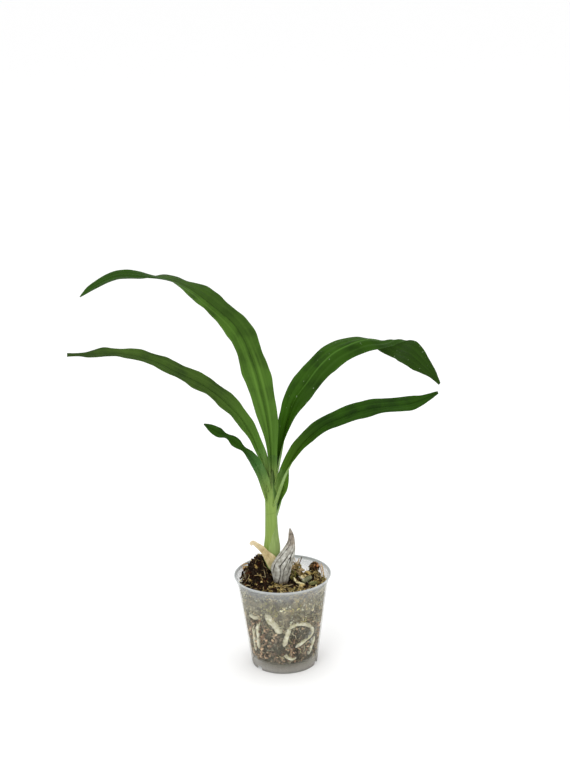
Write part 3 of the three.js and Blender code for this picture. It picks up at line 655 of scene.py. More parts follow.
def pot_material():
    """Thin hazy plastic: clearer below, milkier at the rim, darker and more opaque at the foot as painted
    shade, with flow lines.
    """
    shader = Shader("hazy clear plastic", roughness=0.3, specular=0.5)
    height = shader.attribute("height")
    haze = shader.noise(17, detail=4)
    flow = shader.noise(2.2, detail=2, stretch=(1, 1, 22))
    # Opacity of the haze: thicker at the rim, and raised towards the foot to carry the painted shade there.
    milky_rim_and_foot_shade = shader.ramp(height, [
        (0.0, 0.42), (0.03, 0.3), (0.09, 0.24), (0.125, 0.09), (0.5, 0.09), (0.7, 0.13), (0.86, 0.17),
        (0.9, 0.28), (0.965, 0.36), (0.985, 0.82), (1.0, 0.85)])
    rim = shader.tree.nodes.new("ShaderNodeLayerWeight")
    rim.inputs["Blend"].default_value = 0.35
    grazing = shader.math("MULTIPLY", shader.math("POWER", rim.outputs["Facing"], 3.0), 0.35)
    patchy = shader.math("MULTIPLY_ADD", shader.math("SUBTRACT", haze, 0.5), 0.24, milky_rim_and_foot_shade)
    lined = shader.math("MULTIPLY_ADD", shader.math("SUBTRACT", flow, 0.5), 0.08, patchy)
    shader.set("Alpha", shader.math("MAXIMUM", shader.math("ADD", lined, grazing), 0.05))
    # Painted shade: the haze colour darkens towards the foot, where the skirt and the ground under the pot
    # lie in shadow.
    body = shader.colours(height, [
        (0.0, 0x6a675c), (0.035, 0x8c877a), (0.1, 0x9c9684), (0.14, 0xa8a694), (0.6, 0xb0ad9a),
        (0.9, 0xa6a8a4), (0.975, 0xadb1b0), (0.99, 0xb6baba)])
    shader.set("Base Color", body)
    shader.bump(shader.math("ADD", haze, flow), depth=0.08)
    return shader.material


# Leaves, sheaths and bract

def ribbon(leaf, distances, lines, seed=None):
    """The middle surface of a blade: a row of points for each distance, one for each line across."""
    at, curve = smooth_rows(leaf["stations"])
    rows = curve(distances)
    nudge = 0.5
    along = unit((curve(distances + nudge) - curve(distances - nudge))[:, :3])
    face_front = unit(FRONT - (along @ FRONT)[:, None] * along)
    side_front = np.cross(along, face_front)
    turn = np.radians(rows[:, 4])[:, None]
    face = face_front * np.cos(turn) + side_front * np.sin(turn)
    side = side_front * np.cos(turn) - face_front * np.sin(turn)
    half = rows[:, 3][:, None]
    fold = np.radians(rows[:, 5])[:, None]
    crease = rows[:, 6][:, None] if rows.shape[1] > 6 else np.zeros_like(half)
    share = (distances / at[-1])[:, None]
    v = np.asarray(lines)[None, :]
    out = np.abs(v)
    lag = np.where(v > 0, 0, EDGE_LAG)
    wave = leaf["ripple"] * np.sin(2 * math.pi * leaf["ripples"] * share + leaf["phase"] + lag)
    edge = wave * out ** 3 * np.minimum(1, share * 3)
    if seed is not None:
        uneven = np.where(v > 0, ruffle(share, seed), ruffle(share, seed + 1))
        edge = edge + 0.8 * leaf["ripple"] * uneven * out ** 3 * smooth_step(0.15, 0.35, share)
    pleats = PLEAT * half * (1 - np.cos(2 * math.pi * PLEATS * out)) / 2
    rise = half * (np.abs(v - crease) - 0.5) * np.sin(fold) + edge + pleats
    spread = half * (crease + (v - crease) * np.cos(fold)) + edge
    points = rows[:, None, :3] + side[:, None, :] * spread[..., None] + face[:, None, :] * rise[..., None]
    return points, half


def thick_sheet(grid, above, below, start=0):
    """Points and faces of a closed sheet round a grid, with its thickness above and below it."""
    rows, columns = grid.shape[:2]
    along = np.gradient(grid, axis=0)
    across = np.gradient(grid, axis=1)
    normals = unit(np.cross(across, along))
    top = grid + normals * above[..., None]
    bottom = grid - normals * below[..., None]
    count = rows * columns
    faces = grid_faces(rows, columns, start=start) + grid_faces(rows, columns, start=start + count, flip=True)
    border = [(0, j) for j in range(columns)]
    border += [(i, columns - 1) for i in range(1, rows)]
    border += [(rows - 1, j) for j in range(columns - 2, -1, -1)]
    border += [(i, 0) for i in range(rows - 2, 0, -1)]
    ring = [i * columns + j + start for i, j in border]
    for a, b in zip(ring, ring[1:] + ring[:1]):
        faces.append([b, a, a + count, b + count])
    return np.concatenate([top.reshape(-1, 3), bottom.reshape(-1, 3)]), faces


def blade_lines(count):
    """Lines across a blade, closer together at the midrib."""
    even = np.linspace(-1, 1, count)
    return np.sign(even) * np.abs(even) ** 1.25


BLADE_ROW = 1.1
BLADE_LINES = 41
TUCK = 2.5


def leaf_piece(name, material, seed):
    """A blade, from a little below its joint to its tip."""
    leaf = LEAVES[name]
    at, _ = smooth_rows(leaf["stations"])
    start = at[leaf["joint_at"]] - TUCK
    distances = np.linspace(start, at[-1], int((at[-1] - start) / BLADE_ROW))
    lines = blade_lines(BLADE_LINES)
    grid, half = ribbon(leaf, distances, lines, seed)
    share = np.tile(((distances - start) / (at[-1] - start))[:, None], (1, len(lines)))
    v = np.tile(lines[None, :], (len(distances), 1))
    out = np.abs(v)
    edge_thin = 0.09 + 0.16 * (1 - out ** 4)
    fine = 0.05 * np.cos(2 * math.pi * 7 * out) * (1 - out) * np.minimum(1, half / 6)
    keel = 0.75 * np.exp(-(v * half / 0.8) ** 2) * (1 - share) ** 0.7
    groove = 0.16 * np.exp(-(v * half / 0.45) ** 2)
    points, faces = thick_sheet(grid, edge_thin + fine - groove, edge_thin - fine + keel)
    piece = make_mesh(name + "_blade", points, faces, material, "leaf_green", across=np.tile(v.ravel(), 2),
                      along=np.tile(share.ravel(), 2), under=np.repeat([0.0, 1.0], v.size))
    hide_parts(name)


# The outermost sheath's edge crosses the front of the stem, through points of height and angle

SHEATH_EDGE = [(80, -128), (92, -122), (105.6, -113), (110.5, -106), (120.1, -86), (124.8, -64), (129, -38),
               (138, -34.5), (150, -42), (156, -60), (161, -72)]


def past_edge(angle, height):
    """How far each point of the stem lies past the sheath's edge, from 0 to 1."""
    degrees = (np.degrees(angle) + 180) % 360 - 180
    border = np.interp(height, *zip(*SHEATH_EDGE))
    return smooth_step(-3, 3, degrees - border) * smooth_step(0, 1, (80 - degrees) / 30)


def stem_body():
    """The stem of wrapped sheaths, with fine ribs, the outermost sheath's edge and a scar round it."""
    levels, sides = 260, 120
    at, curve = smooth_rows(STEM_RINGS)
    rows = curve(np.linspace(0, at[-1], levels))
    sunk = smooth_step(158, 172, rows[:, 2])
    rows[:, 3] *= 1 - 0.35 * sunk
    rows[:, 4] *= 1 - 0.45 * sunk
    angle, height = np.meshgrid(round_angles(sides), rows[:, 2])
    past = past_edge(angle, height)
    ribs = 0.05 * np.cos(24 * angle + 0.8 * np.sin(height / 23)) + 0.03 * np.cos(53 * angle)
    grow = 1 + (ribs - 0.34 * past) / rows[:, 3][:, None]
    share = smooth_step(84, 168, height)[..., None]
    outer = between(0x869c4c, 0x7e984c, share)
    inner = between(0xa0b36e, 0x5a7c3a, share)
    tint = outer * (1 - past[..., None]) + inner * past[..., None]
    line = np.exp(-((past - 0.35) / 0.3) ** 2)[..., None] * smooth_step(0, 0.05, past)[..., None]
    tint = tint * (1 - 0.6 * line) + np.array(linear(0xb8ca94)) * 0.6 * line
    scar = np.exp(-((height - 142 - 1.2 * np.cos(angle)) / 0.35) ** 2)[..., None]
    tint = tint * (1 - 0.22 * scar)
    top_shade = smooth_step(160, 178, height)[..., None]
    tint = tint * (1 - 0.65 * top_shade)
    points, faces = closed_tube(upright_rings(rows, grow, angle))
    tints = np.concatenate([tint.reshape(-1, 3), tint[0, :1], tint[-1, :1]])
    return points, faces, tints


# Colours of the inside and the outside of each leaf's sheath, at its top. The inside colour is
# darkened as painted shade, where the folded sheath's inner face lies in shadow; the outside is the sheath's
# own colour.

SHEATH_LOOKS = {
    "leaf_tall_left": (0x456828, 0x52733a),
    "leaf_low_left": (0x4d722c, 0x587a38),
    "leaf_small_left": (0x3a622a, 0x426a33),
    "leaf_big_right": (0x2c4c12, 0x789a52),
    "leaf_low_right": (0x3f621a, 0x84a45a),
    "leaf_small_right": (0x5d8338, 0x5d8338),
}


def sheath_body(name, start):
    """The foot of a leaf below its joint, thicker and paler than the blade."""
    leaf = LEAVES[name]
    at, _ = smooth_rows(leaf["stations"])
    distances = np.linspace(0, at[leaf["joint_at"]], 60)
    lines = blade_lines(33)
    grid, half = ribbon(leaf, distances, lines)
    v = np.tile(lines[None, :], (len(distances), 1))
    share = np.tile((distances / distances[-1])[:, None], (1, len(lines)))
    body = 0.62 - 0.3 * np.abs(v) ** 3 - 0.12 * share
    keel = 0.5 * np.exp(-(v * half / 1.6) ** 2)
    points, faces = thick_sheet(grid, body, body + keel, start=start)
    low = np.array(linear(0x7e984c))
    rise = smooth_step(0.1, 1.0, share).reshape(-1, 1)
    # The inside colour, on the upper face, carries painted shade.
    tints = [low + (np.array(linear(colour)) - low) * rise for colour in SHEATH_LOOKS[name]]
    return points, faces, np.concatenate(tints)


def sheaths_piece(material):
    points, faces, tints = stem_body()
    points, tints = [points], [tints]
    for name in LEAVES:
        more, more_faces, more_tints = sheath_body(name, sum(len(p) for p in points))
        points.append(more)
        faces.extend(more_faces)
        tints.append(more_tints)
    piece = make_mesh("sheaths_and_stem", np.concatenate(points), faces, material, "pale_sheath",
                      tints=np.concatenate(tints))
    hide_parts("leaf_sheaths")


def bract_piece(material):
    at, _ = smooth_rows(BRACT["stations"])
    distances = np.linspace(0, at[-1], 90)
    lines = np.linspace(-1, 1, 27)
    grid, _ = ribbon(BRACT, distances, lines)
    v = np.tile(lines[None, :], (len(distances), 1))
    share = np.tile((distances / at[-1])[:, None], (1, len(lines)))
    crinkle = 0.14 * np.sin(share * 17 + 3 * v) * np.abs(v) ** 2
    grid = grid + np.stack([crinkle, crinkle * 0.5, crinkle], -1)
    body = 0.22 + 0.1 * (1 - np.abs(v))
    points, faces = thick_sheet(grid, body, body)
    piece = make_mesh("dry_bract_skin", points, faces, material, "dry_bract",
                      across=np.tile(v.ravel(), 2), along=np.tile(share.ravel(), 2))
    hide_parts("dry_bract")


def bulb_piece(material):
    """Upright body with wavy lengthwise folds and cracks between them."""
    levels, sides = 200, 170
    at, curve = smooth_rows(BULB_RINGS)
    rows = curve(np.linspace(0, at[-1], levels))
    angle, share = np.meshgrid(round_angles(sides), np.linspace(0, 1, levels))
    ring = np.stack([3 * np.cos(angle), 3 * np.sin(angle), 9 * share], -1).reshape(-1, 3)
    drift = rough(ring, 2.4, 1).reshape(angle.shape)
    drift2 = rough(ring, 1.1, 2).reshape(angle.shape)
    phase = 5.0 * angle + 1.9 * drift + 0.9 * drift2 - 4.2 * share + 0.9 * np.sin(5 * share)
    fold = np.abs(np.sin(phase))
    crack = np.exp(-(fold / 0.3) ** 2)
    small = np.abs(np.sin(11 * angle + 3.4 * drift2 + 7 * share))
    small_crack = 0.55 * np.exp(-(small / 0.3) ** 2) * smooth_step(-0.2, 0.3, drift)
    relief = 0.55 * fold ** 0.6 - 0.85 * crack - 0.3 * small_crack + 0.35 * drift
    relief = relief * smooth_step(0, 0.06, share) * (1 - 0.75 * smooth_step(0.72, 1.0, share))
    grow = 1 + (relief - 0.3) / np.maximum(rows[:, 3][:, None], 2.2)
    points, faces = closed_tube(upright_rings(rows, grow, angle))
    crack_shade = np.maximum(crack, small_crack).ravel()
    piece = make_mesh("shrivelled_pseudobulb", points, faces, material, "dry_bulb",
                      crack=np.append(crack_shade, [0.5, 0.5]), height=np.append(share.ravel(), [0.0, 1.0]))
    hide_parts("old_pseudobulb")


# Roots

def root_path(radius, wall, steps):
    places = []
    for degrees, z, inward in wall:
        r = wall_inside(z) - 0.35 - radius - inward
        places.append([r * math.cos(math.radians(degrees)), r * math.sin(math.radians(degrees)), z])
    start = np.array([RHIZOME["x"], RHIZOME["y"], RHIZOME["z"]], float)
    inside = start + 0.45 * (np.array(places[0]) - start) + np.array([0, 0, 3])
    at, curve = smooth_rows([start, inside, *places])
    return curve(np.linspace(0, at[-1], steps))


def pressed(points, gap=0.12):
    """Points that would cross the pot's wall are pressed flat against it."""
    r = np.hypot(points[:, 0], points[:, 1])
    limit = wall_inside(points[:, 2]) - gap
    scale = np.minimum(1, limit / np.maximum(r, 1e-6))
    return points * np.stack([scale, scale, np.ones_like(scale)], -1)


def roots_piece(material):
    heap = Heap()
    random = np.random.default_rng(8)
    for radius, wall in ROOTS:
        steps = 40 + 22 * len(wall)
        path = root_path(radius, wall, steps)
        share = np.linspace(0, 1, steps)
        lumps = 1 + 0.07 * np.sin(share * 37 + 6 * random.random()) + 0.05 * np.sin(share * 83)
        taper = np.sqrt(np.clip((1 - share) / 0.045, 0.02, 1))
        rings = tube_rings(path, 1.18 * radius * lumps * taper, 18)
        points, faces = closed_tube(rings)
        points = points + 0.1 * unit(points - points.mean(0)) * rough(points, 1.4, 3)[:, None]
        heap.add(pressed(points, 0.35), faces, [1, 1, 1])
    sphere_points, sphere_faces = ball(4)
    core_points = sphere_points * [RHIZOME["length"], RHIZOME["width"], RHIZOME["height"]]
    core_points = core_points * (1 - 0.06 * (1 + np.sin(core_points[:, :1] * 1.6)))
    heap.add(core_points + [RHIZOME["x"], RHIZOME["y"], RHIZOME["z"]], sphere_faces, [1, 1, 1])
    piece = heap.piece("white_roots", material, "root_skin")
    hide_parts("roots")


# Potting mix

def ball(level):
    """A ball of triangles, split from an icosahedron."""
    t = (1 + math.sqrt(5)) / 2
    points = [(-1, t, 0), (1, t, 0), (-1, -t, 0), (1, -t, 0), (0, -1, t), (0, 1, t),
              (0, -1, -t), (0, 1, -t), (t, 0, -1), (t, 0, 1), (-t, 0, -1), (-t, 0, 1)]
    faces = [(0, 11, 5), (0, 5, 1), (0, 1, 7), (0, 7, 10), (0, 10, 11), (1, 5, 9), (5, 11, 4), (11, 10, 2),
             (10, 7, 6), (7, 1, 8), (3, 9, 4), (3, 4, 2), (3, 2, 6), (3, 6, 8), (3, 8, 9), (4, 9, 5),
             (2, 4, 11), (6, 2, 10), (8, 6, 7), (9, 8, 1)]
    points = [np.array(p) / math.hypot(1, t) for p in points]
    for _ in range(level - 1):
        middles, finer = {}, []
        for a, b, c in faces:
            cut = []
            for p, q in ((a, b), (b, c), (c, a)):
                key = (min(p, q), max(p, q))
                if key not in middles:
                    middles[key] = len(points)
                    points.append(unit(points[p] + points[q]))
                cut.append(middles[key])
            finer += [(a, cut[0], cut[2]), (b, cut[1], cut[0]), (c, cut[2], cut[1]), tuple(cut)]
        faces = finer
    return np.array(points), [list(f) for f in faces]


def crumb_shapes(count, level, seed, cuts=7):
    """Broken lumps of bark: balls planed off by random flat faces and roughened."""
    random = np.random.default_rng(seed)
    sphere, faces = ball(level)
    shapes = []
    for k in range(count):
        points = sphere.copy()
        for _ in range(cuts):
            plane = unit(random.normal(size=3))
            depth = random.uniform(0.35, 0.8)
            past = points @ plane - depth
            points = points - np.maximum(past, 0)[:, None] * plane
        points = points * (1 + 0.16 * rough(points, 0.45, k + seed))[:, None]
        shapes.append(points)
    return shapes, faces


def turned(points, random):
    """The points turned about a random axis."""
    q = random.normal(size=4)
    w, x, y, z = q / np.linalg.norm(q)
    spin = np.array([
        [1 - 2 * (y * y + z * z), 2 * (x * y - z * w), 2 * (x * z + y * w)],
        [2 * (x * y + z * w), 1 - 2 * (x * x + z * z), 2 * (y * z - x * w)],
        [2 * (x * z - y * w), 2 * (y * z + x * w), 1 - 2 * (x * x + y * y)],
    ])
    return points @ spin.T


def lumps(x, y, z):
    return (np.sin(0.61 * x + 1.3 * np.sin(0.23 * z)) * np.sin(0.57 * y + 0.4)
            + 0.6 * np.sin(1.07 * x - 0.83 * y + 0.9 * z) + 0.5 * np.sin(0.9 * z + 1.1 * y))


def mix_top(x, y):
    top = MIX_LEVEL - MIX_SLOPE * y + 0.9 * lumps(x, y, 0)
    for cx, cy, height, spread in MOUNDS:
        top = top + height * np.exp(-((x - cx) ** 2 + (y - cy) ** 2) / spread ** 2)
    return top


def mix_core(material):
    """The body of the mix, a little inside the bits that cover it: near-black as painted shade in the gaps
    between the bits, and in the mix's own colours close to the wall.
    """
    sides, wall_rings, top_rings = 150, 46, 40
    angles = round_angles(sides)
    c, s = np.cos(angles), np.sin(angles)
    edge = wall_inside(MIX_LEVEL) - 3.2
    rings = []
    bottom = FLOOR_TOP + 0.4
    for t in np.linspace(0, 1, wall_rings):
        top = mix_top(edge * c, edge * s) - 3.2
        z = bottom + (top - bottom) * t
        full = np.minimum(wall_inside(z), wall_inside(FLARE_FOOT)) - 0.5
        r = np.minimum(full - 1.9 - 0.7 * lumps(full * c, full * s, z), full)
        rings.append(np.stack([r * c, r * s, z], -1))
    for t in np.linspace(1, 0.02, top_rings)[1:]:
        x, y = edge * t * c, edge * t * s
        rings.append(np.stack([x, y, mix_top(x, y) - 1.0], -1))
    points, faces = closed_tube(np.array(rings))
    mossy = smooth_step(44, 60, points[:, 2] + 5 * rough(points, 9.0, 4))[:, None]
    behind_wall = smooth_step(edge - 3, edge - 1, np.hypot(points[:, 0], points[:, 1]))[:, None]
    wall_tint = between(0x7d5e44, 0x8a8268, mossy)
    wall_tint = wall_tint * np.clip(0.95 + 1.2 * rough(points, 5.0, 6), 0.3, 1.6)[:, None]
    # Painted shade: the body is near-black away from the wall, standing for the shade in the gaps between the
    # bits.
    tints = np.array(linear(0x150c07)) * (1 - behind_wall) + wall_tint * behind_wall
    piece = make_mesh("mix_body", points, faces, material, "bark_mix", tints=tints)
    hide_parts("potting_mix")


TOP_BIT_COUNT = 1350
WALL_BIT_COUNT = 2150
TOP_FIBRE_COUNT = 230
WALL_FIBRE_COUNT = 640
TUFT_COUNT = 150
LUMP_CRUMB_COUNT = 150
LUMP_FIBRE_COUNT = 40

DARK_BITS = [0x190c06, 0x26120a, 0x38190a, 0x4a2814, 0x100704]
TAN_BITS = [0x9a8450, 0xac9860, 0x746438, 0xc4ae74, 0x675a30, 0xdccb98]
MOSSY_BITS = [0xa8a48c, 0x8f866c, 0xb8b090, 0xc8c09a, 0x857a62, 0xc9cab2, 0x979066, 0xb09e78]
GREEN_BITS = [0xc8c284, 0xaeab68, 0xbcb57e, 0x969254, 0xd6d2a0]
BARK_BITS = [0x8a6c54, 0xa08268, 0x785a46, 0x54403a, 0xc8ac8c, 0x988670, 0x6e5442, 0xb09478]

# Places on the wall where one kind of bit gathers: angle round the pot, height, reach, colours

WALL_PATCHES = [
    (252, 69, 10, GREEN_BITS),
    (291, 71, 5, GREEN_BITS),
    (321, 60, 3.5, [0xe0cfc0, 0xd2bfae]),
    (271, 69, 2.5, [0xc8bf9c, 0xb4ac88]),
    (228, 76, 6, [0xb5b8a6, 0xa5aa98]),
    (318, 36, 8, [0x8f9290, 0x7e817c, 0xa0a29c]),
    (262, 24, 7, [0x3c2a22, 0x2e1f18, 0x4e382a]),
]


def inside_plant(x, y, z):
    """Whether a point would lie in the stem or the old pseudobulb."""
    stem = ((x + 9) / 9.5) ** 2 + ((y - 18) / 7.5) ** 2 < 1
    bulb = ((x + 0.6) / 10.0) ** 2 + ((y - 7) / 7.0) ** 2 < 1
    return stem or (bulb and z < 100)


def beside(places, x, y, margin):
    """Whether a spot on the mix lies within the margin of a path's points."""
    return bool(np.any(np.hypot(places[:, 0] - x, places[:, 1] - y) < margin))


def near_path(places, centre, margin):
    """Whether a bit's centre lies within the margin of a path's points."""
    return bool(np.any(np.linalg.norm(places - centre, axis=1) < margin))


def on_chip(x, y):
    """Whether a spot on the mix lies under a loose chip."""
    return any(math.hypot(x - place[0], y - place[1]) < 0.42 * size[0] for place, size, *_ in CHIPS.values())


def top_bits(material):
    """Crumbs of bark and moss that cover the top of the mix, dark and tan in patches."""
    heap = Heap()
    random = np.random.default_rng(21)
    coarse, coarse_faces = crumb_shapes(20, 3, 5)
    small, small_faces = crumb_shapes(20, 2, 6)
    clear = np.concatenate([smooth_path(places, 40) for places, *_ in STRANDS[:2]])
    placed = 0
    while placed < TOP_BIT_COUNT:
        x, y = spot(40.8, random)
        z = float(mix_top(x, y))
        big = random.random() < 0.13
        size = random.uniform(1.9, 3.2) if big else random.uniform(0.6, 1.7)
        if inside_plant(x, y, z) or beside(clear, x, y, 0.8 + 0.7 * size) or on_chip(x, y):
            continue
        shapes, faces = (coarse, coarse_faces) if big else (small, small_faces)
        stretch = stretch_of(size, random, (0.8, 1.7), (0.5, 0.9), (0.35, 0.8))
        points = turned(pick(shapes, random) * stretch, random) + [x, y, z - 0.35 * size]
        patch = noise.noise(Vector((x, y, 0)) / 6.0) + 0.012 * x - 0.006 * y
        light = random.random() < np.clip(0.42 + 1.2 * patch, 0.14, 0.85)
        colour = pick(TAN_BITS if light else DARK_BITS, random)
        strength = random.uniform(0.95, 1.5) if light else random.uniform(0.6, 1.1)
        heap.add(pressed(points, 0.4), faces, np.array(linear(colour)) * strength)
        placed += 1
    heap.piece("mix_top_bits", material, "bark_mix")


def wall_colours(angle, z, upper, random):
    """The colours of the bits at one place on the wall."""
    for degrees, height, reach, colours in WALL_PATCHES:
        away = math.hypot(math.radians((angle - degrees + 180) % 360 - 180) * wall_inside(z), z - height)
        if away < reach * random.uniform(0.6, 1.2):
            return colours
    return MOSSY_BITS if upper else BARK_BITS


def wall_bits(material):
    """Bits pressed against the inside of the wall: pale mossy crumbs above, brown bark below."""
    heap = Heap()
    random = np.random.default_rng(33)
    shapes, faces = crumb_shapes(30, 2, 9, cuts=5)
    paths = [(radius, root_path(radius, wall, 80)[30:]) for radius, wall in ROOTS]
    placed = 0
    while placed < WALL_BIT_COUNT:
        z = random.uniform(FLOOR_TOP + 1.5, 78.5)
        a = 2 * math.pi * random.random()
        border = 50 + 5 * math.sin(2 * a + 1) + 4 * math.sin(5 * a)
        upper = z + random.normal() * 3 > border
        size = random.uniform(0.6, 1.4) if upper else random.uniform(0.6, 1.7)
        r = float(wall_inside(z)) - 0.5 - random.uniform(0.15, 0.7) * size
        centre = np.array([r * math.cos(a), r * math.sin(a), z])
        if any(near_path(path, centre, 1.1 * radius + 0.55 * size) for radius, path in paths):
            continue
        stretch = stretch_of(size, random, (0.8, 1.6), (0.5, 1.0), (0.4, 0.9))
        points = turned(pick(shapes, random) * stretch, random) + centre
        colour = pick(wall_colours(math.degrees(a), z, upper, random), random)
        points[:, 2] = np.maximum(points[:, 2], FLOOR_TOP + 0.3)
        cloud = 1.02 + 1.1 * noise.noise(Vector(centre) / 6.5) + 0.5 * noise.noise(Vector(centre) / 15)
        shade = random.uniform(0.8, 1.4) * min(max(cloud, 0.35), 1.75)
        heap.add(pressed(points, 0.3), faces, np.array(linear(colour)) * shade)
        placed += 1
    heap.piece("mix_wall_bits", material, "bark_mix")


def smooth_path(places, steps):
    at, curve = smooth_rows(places)
    return curve(np.linspace(0, at[-1], steps))


def strand(heap, path, radius, tint, sides=6):
    path = np.asarray(path, float)
    steps = len(path)
    taper = np.minimum(1, 4 * np.minimum(np.linspace(0, 1, steps), np.linspace(1, 0, steps)) + 0.25)
    points, faces = closed_tube(tube_rings(path, radius * taper, sides))
    heap.add(points, faces, tint)


def curly_path(start, heading, length, random, bend, steps=14):
    """A path that wanders as it goes."""
    place, way = np.array(start, float), unit(np.array(heading, float))
    path = [place.copy()]
    for _ in range(steps):
        way = unit(way + bend * random.normal(size=3))
        place = place + way * length / steps
        path.append(place.copy())
    return np.array(path)


FIBRE_COLOURS = [0x9c8456, 0xb7a06f, 0x7c6a42, 0x5d4b30, 0x8c8658, 0xc9b88c, 0x4d3a26]
WALL_FIBRE_COLOURS = [0xa9a288, 0xb8b08e, 0x8f8a72, 0xc4bd9c, 0x9a9a86, 0x7c735c, 0xb4ac74]


def fibres(material):
    """Thin fibres on top of the mix and behind the wall."""
    heap = Heap()
    random = np.random.default_rng(45)
    made = 0
    while made < TOP_FIBRE_COUNT:
        x, y = spot(40, random)
        z = float(mix_top(x, y)) + random.uniform(0.2, 1.8)
        if inside_plant(x, y, z) or on_chip(x, y) or (x < -4 and random.random() < 0.6):
            continue
        heading = random.normal(size=3) * [1, 1, 0.35]
        path = curly_path([x, y, z], heading, random.uniform(4, 12), random, 0.35)
        ground = mix_top(path[:, 0], path[:, 1])
        path[:, 2] = np.clip(path[:, 2], ground - 0.6, ground + 1.8)
        colour = pick(FIBRE_COLOURS, random)
        radius = random.uniform(0.14, 0.4)
        strand(heap, pressed(path, 0.8), radius, np.array(linear(colour)) * random.uniform(0.7, 1.2))
        made += 1
    for _ in range(WALL_FIBRE_COUNT):
        z = random.uniform(46, 79) if random.random() < 0.6 else random.uniform(12, 50)
        a = 2 * math.pi * random.random()
        r = float(wall_inside(z)) - random.uniform(0.5, 1.2)
        ahead = np.array([-math.sin(a), math.cos(a), 0])
        heading = ahead * random.normal() + np.array([0, 0, 1]) * random.normal()
        path = curly_path([r * math.cos(a), r * math.sin(a), z], heading, random.uniform(4, 13), random, 0.4)
        level = np.hypot(path[:, 0], path[:, 1])
        path[:, :2] *= ((wall_inside(path[:, 2]) - random.uniform(0.5, 1.0)) / level)[:, None]
        path[:, 2] = np.clip(path[:, 2], FLOOR_TOP + 1, 80)
        colour = pick(WALL_FIBRE_COLOURS, random)
        radius = random.uniform(0.12, 0.34)
        strand(heap, path, radius, np.array(linear(colour)) * random.uniform(0.8, 1.2), sides=5)
    heap.piece("mix_fibres", material, "bark_mix")


# Single bits that show on top: path through points, radius and colour

STRANDS = [
    ([(10.5, 3.5, 82.2), (11.6, 2.0, 79.6), (13.6, 0.8, 77.8), (17, 0, 77.2), (21, -0.5, 76.6)],
     0.9, 0xf0e6b4),
    ([(14.6, 5, 82.6), (17.4, 4, 81.0), (20.4, 2.6, 79.2), (23.6, 1.2, 77.6)], 0.5, 0xc4beae),
    ([(36.2, 19, 89), (37.4, 17, 85), (38.2, 13, 81), (38.6, 10, 78)], 0.55, 0xc7a97a),
    ([(35, 21, 88), (35.6, 19, 84.5), (37, 15, 80)], 0.4, 0xb08a5a),
    ([(15.1, 13, 88.6), (16.6, 13.5, 93), (18.6, 14, 98.6)], 0.42, 0x4a3a28),
    ([(-30, 14, 92), (-34, 13, 93), (-38.5, 12, 91)], 0.5, 0xa98757),
]


def single_strands(material):
    heap = Heap()
    for places, radius, colour in STRANDS:
        strand(heap, smooth_path(places, 24), radius, linear(colour), sides=10)
    heap.piece("single_strands", material, "tan_bark")


def tuft(material):
    """The upright tuft of moss and fibre to the right of the old pseudobulb."""
    heap = Heap()
    random = np.random.default_rng(52)
    low_colours = [0x8f8c4a, 0xa59a53, 0x6f6a3a, 0x7d7a40, 0x54431f]
    high_colours = [0xd8bc92, 0xbfa478, 0xe0cba4, 0xa08a5c]
    for _ in range(TUFT_COUNT):
        x, y = 12.8 + random.normal() * 2.2, 14.5 + random.normal() * 2.2
        z = float(mix_top(x, y)) - 1
        tall = random.random() < 0.3
        length = random.uniform(7, 12) if tall else random.uniform(3, 7)
        path = curly_path([x, y, z], [0.3 * random.normal(), 0.3 * random.normal(), 1], length, random, 0.3)
        colour = pick(high_colours if tall else low_colours, random)
        strand(heap, path, random.uniform(0.2, 0.5), linear(colour), sides=5)
    heap.piece("moss_tuft", material, "bark_mix")


# A loose chip is its place, its size, its turn and tilt in degrees, its slot, and its three colours

CHIPS = {
    "bark_chip_round": ((30, 19, 85.5), (10, 9, 10), 20, 8, "brown_bark", [0x6b4226, 0x3a2415, 0x86593a]),
    "bark_chip_tan": ((-33, 16, 87), (10, 6, 3.4), 25, 8, "tan_bark", [0xb08c5e, 0x8a6a44, 0xcdb084]),
    "bark_chip_grey": ((22.5, 4, 79.5), (12, 6.5, 2.6), 35, -14, "mossy_bark",
                       [0x7f8062, 0x66684c, 0x9a9a7c]),
    "bark_chip_olive": ((28, -5, 79.5), (11, 6, 2.6), 50, 12, "mossy_bark", [0x77794a, 0x5c5a38, 0x969263]),
}


def chip_piece(name, material, seed):
    """A chip of bark: a rounded block, layered along its grain and broken at its ends."""
    place, size, turn, tilt, slot, colours = CHIPS[name]
    points, faces = ball(5)
    power = 0.42
    block = np.sign(points) * np.abs(points) ** power
    grain = 0.05 * np.sin(9 * block[:, 2] + 3 * rough(points, 0.8, seed))
    ragged = 0.16 * rough(points, 0.3, seed + 1) + 0.1 * rough(points, 0.12, seed + 2)
    block = block * (0.84 + grain + ragged)[:, None]
    shape = block * np.array(size) / 2 * 0.95
    spin = Matrix.Rotation(math.radians(turn), 3, "Z") @ Matrix.Rotation(math.radians(tilt), 3, "Y")
    shape = shape @ np.array(spin).T + np.array(place)
    blend = np.clip(0.5 + 0.9 * rough(points, 0.35, seed + 3), 0, 1)[:, None]
    base, dark, light = (np.array(linear(c)) for c in colours)
    darker, lighter = np.clip(1 - 2 * blend, 0, 1), np.clip(2 * blend - 1, 0, 1)
    tints = base + (dark - base) * darker + (light - base) * lighter
    piece = make_mesh(name + "_bark", shape, faces, material, slot, tints=tints)
    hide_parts(name)


# Lighter, warmer crumbs for the side of the round lump that faces up, right and front: painted light.
LIT_SIDE_CRUMBS = [0xb5764a, 0xa87a50, 0x8a5c38]
LUMP_CRUMBS = [0x3a2a1a, 0x554028, 0x6b5232, 0x7d6a44, 0x241309]


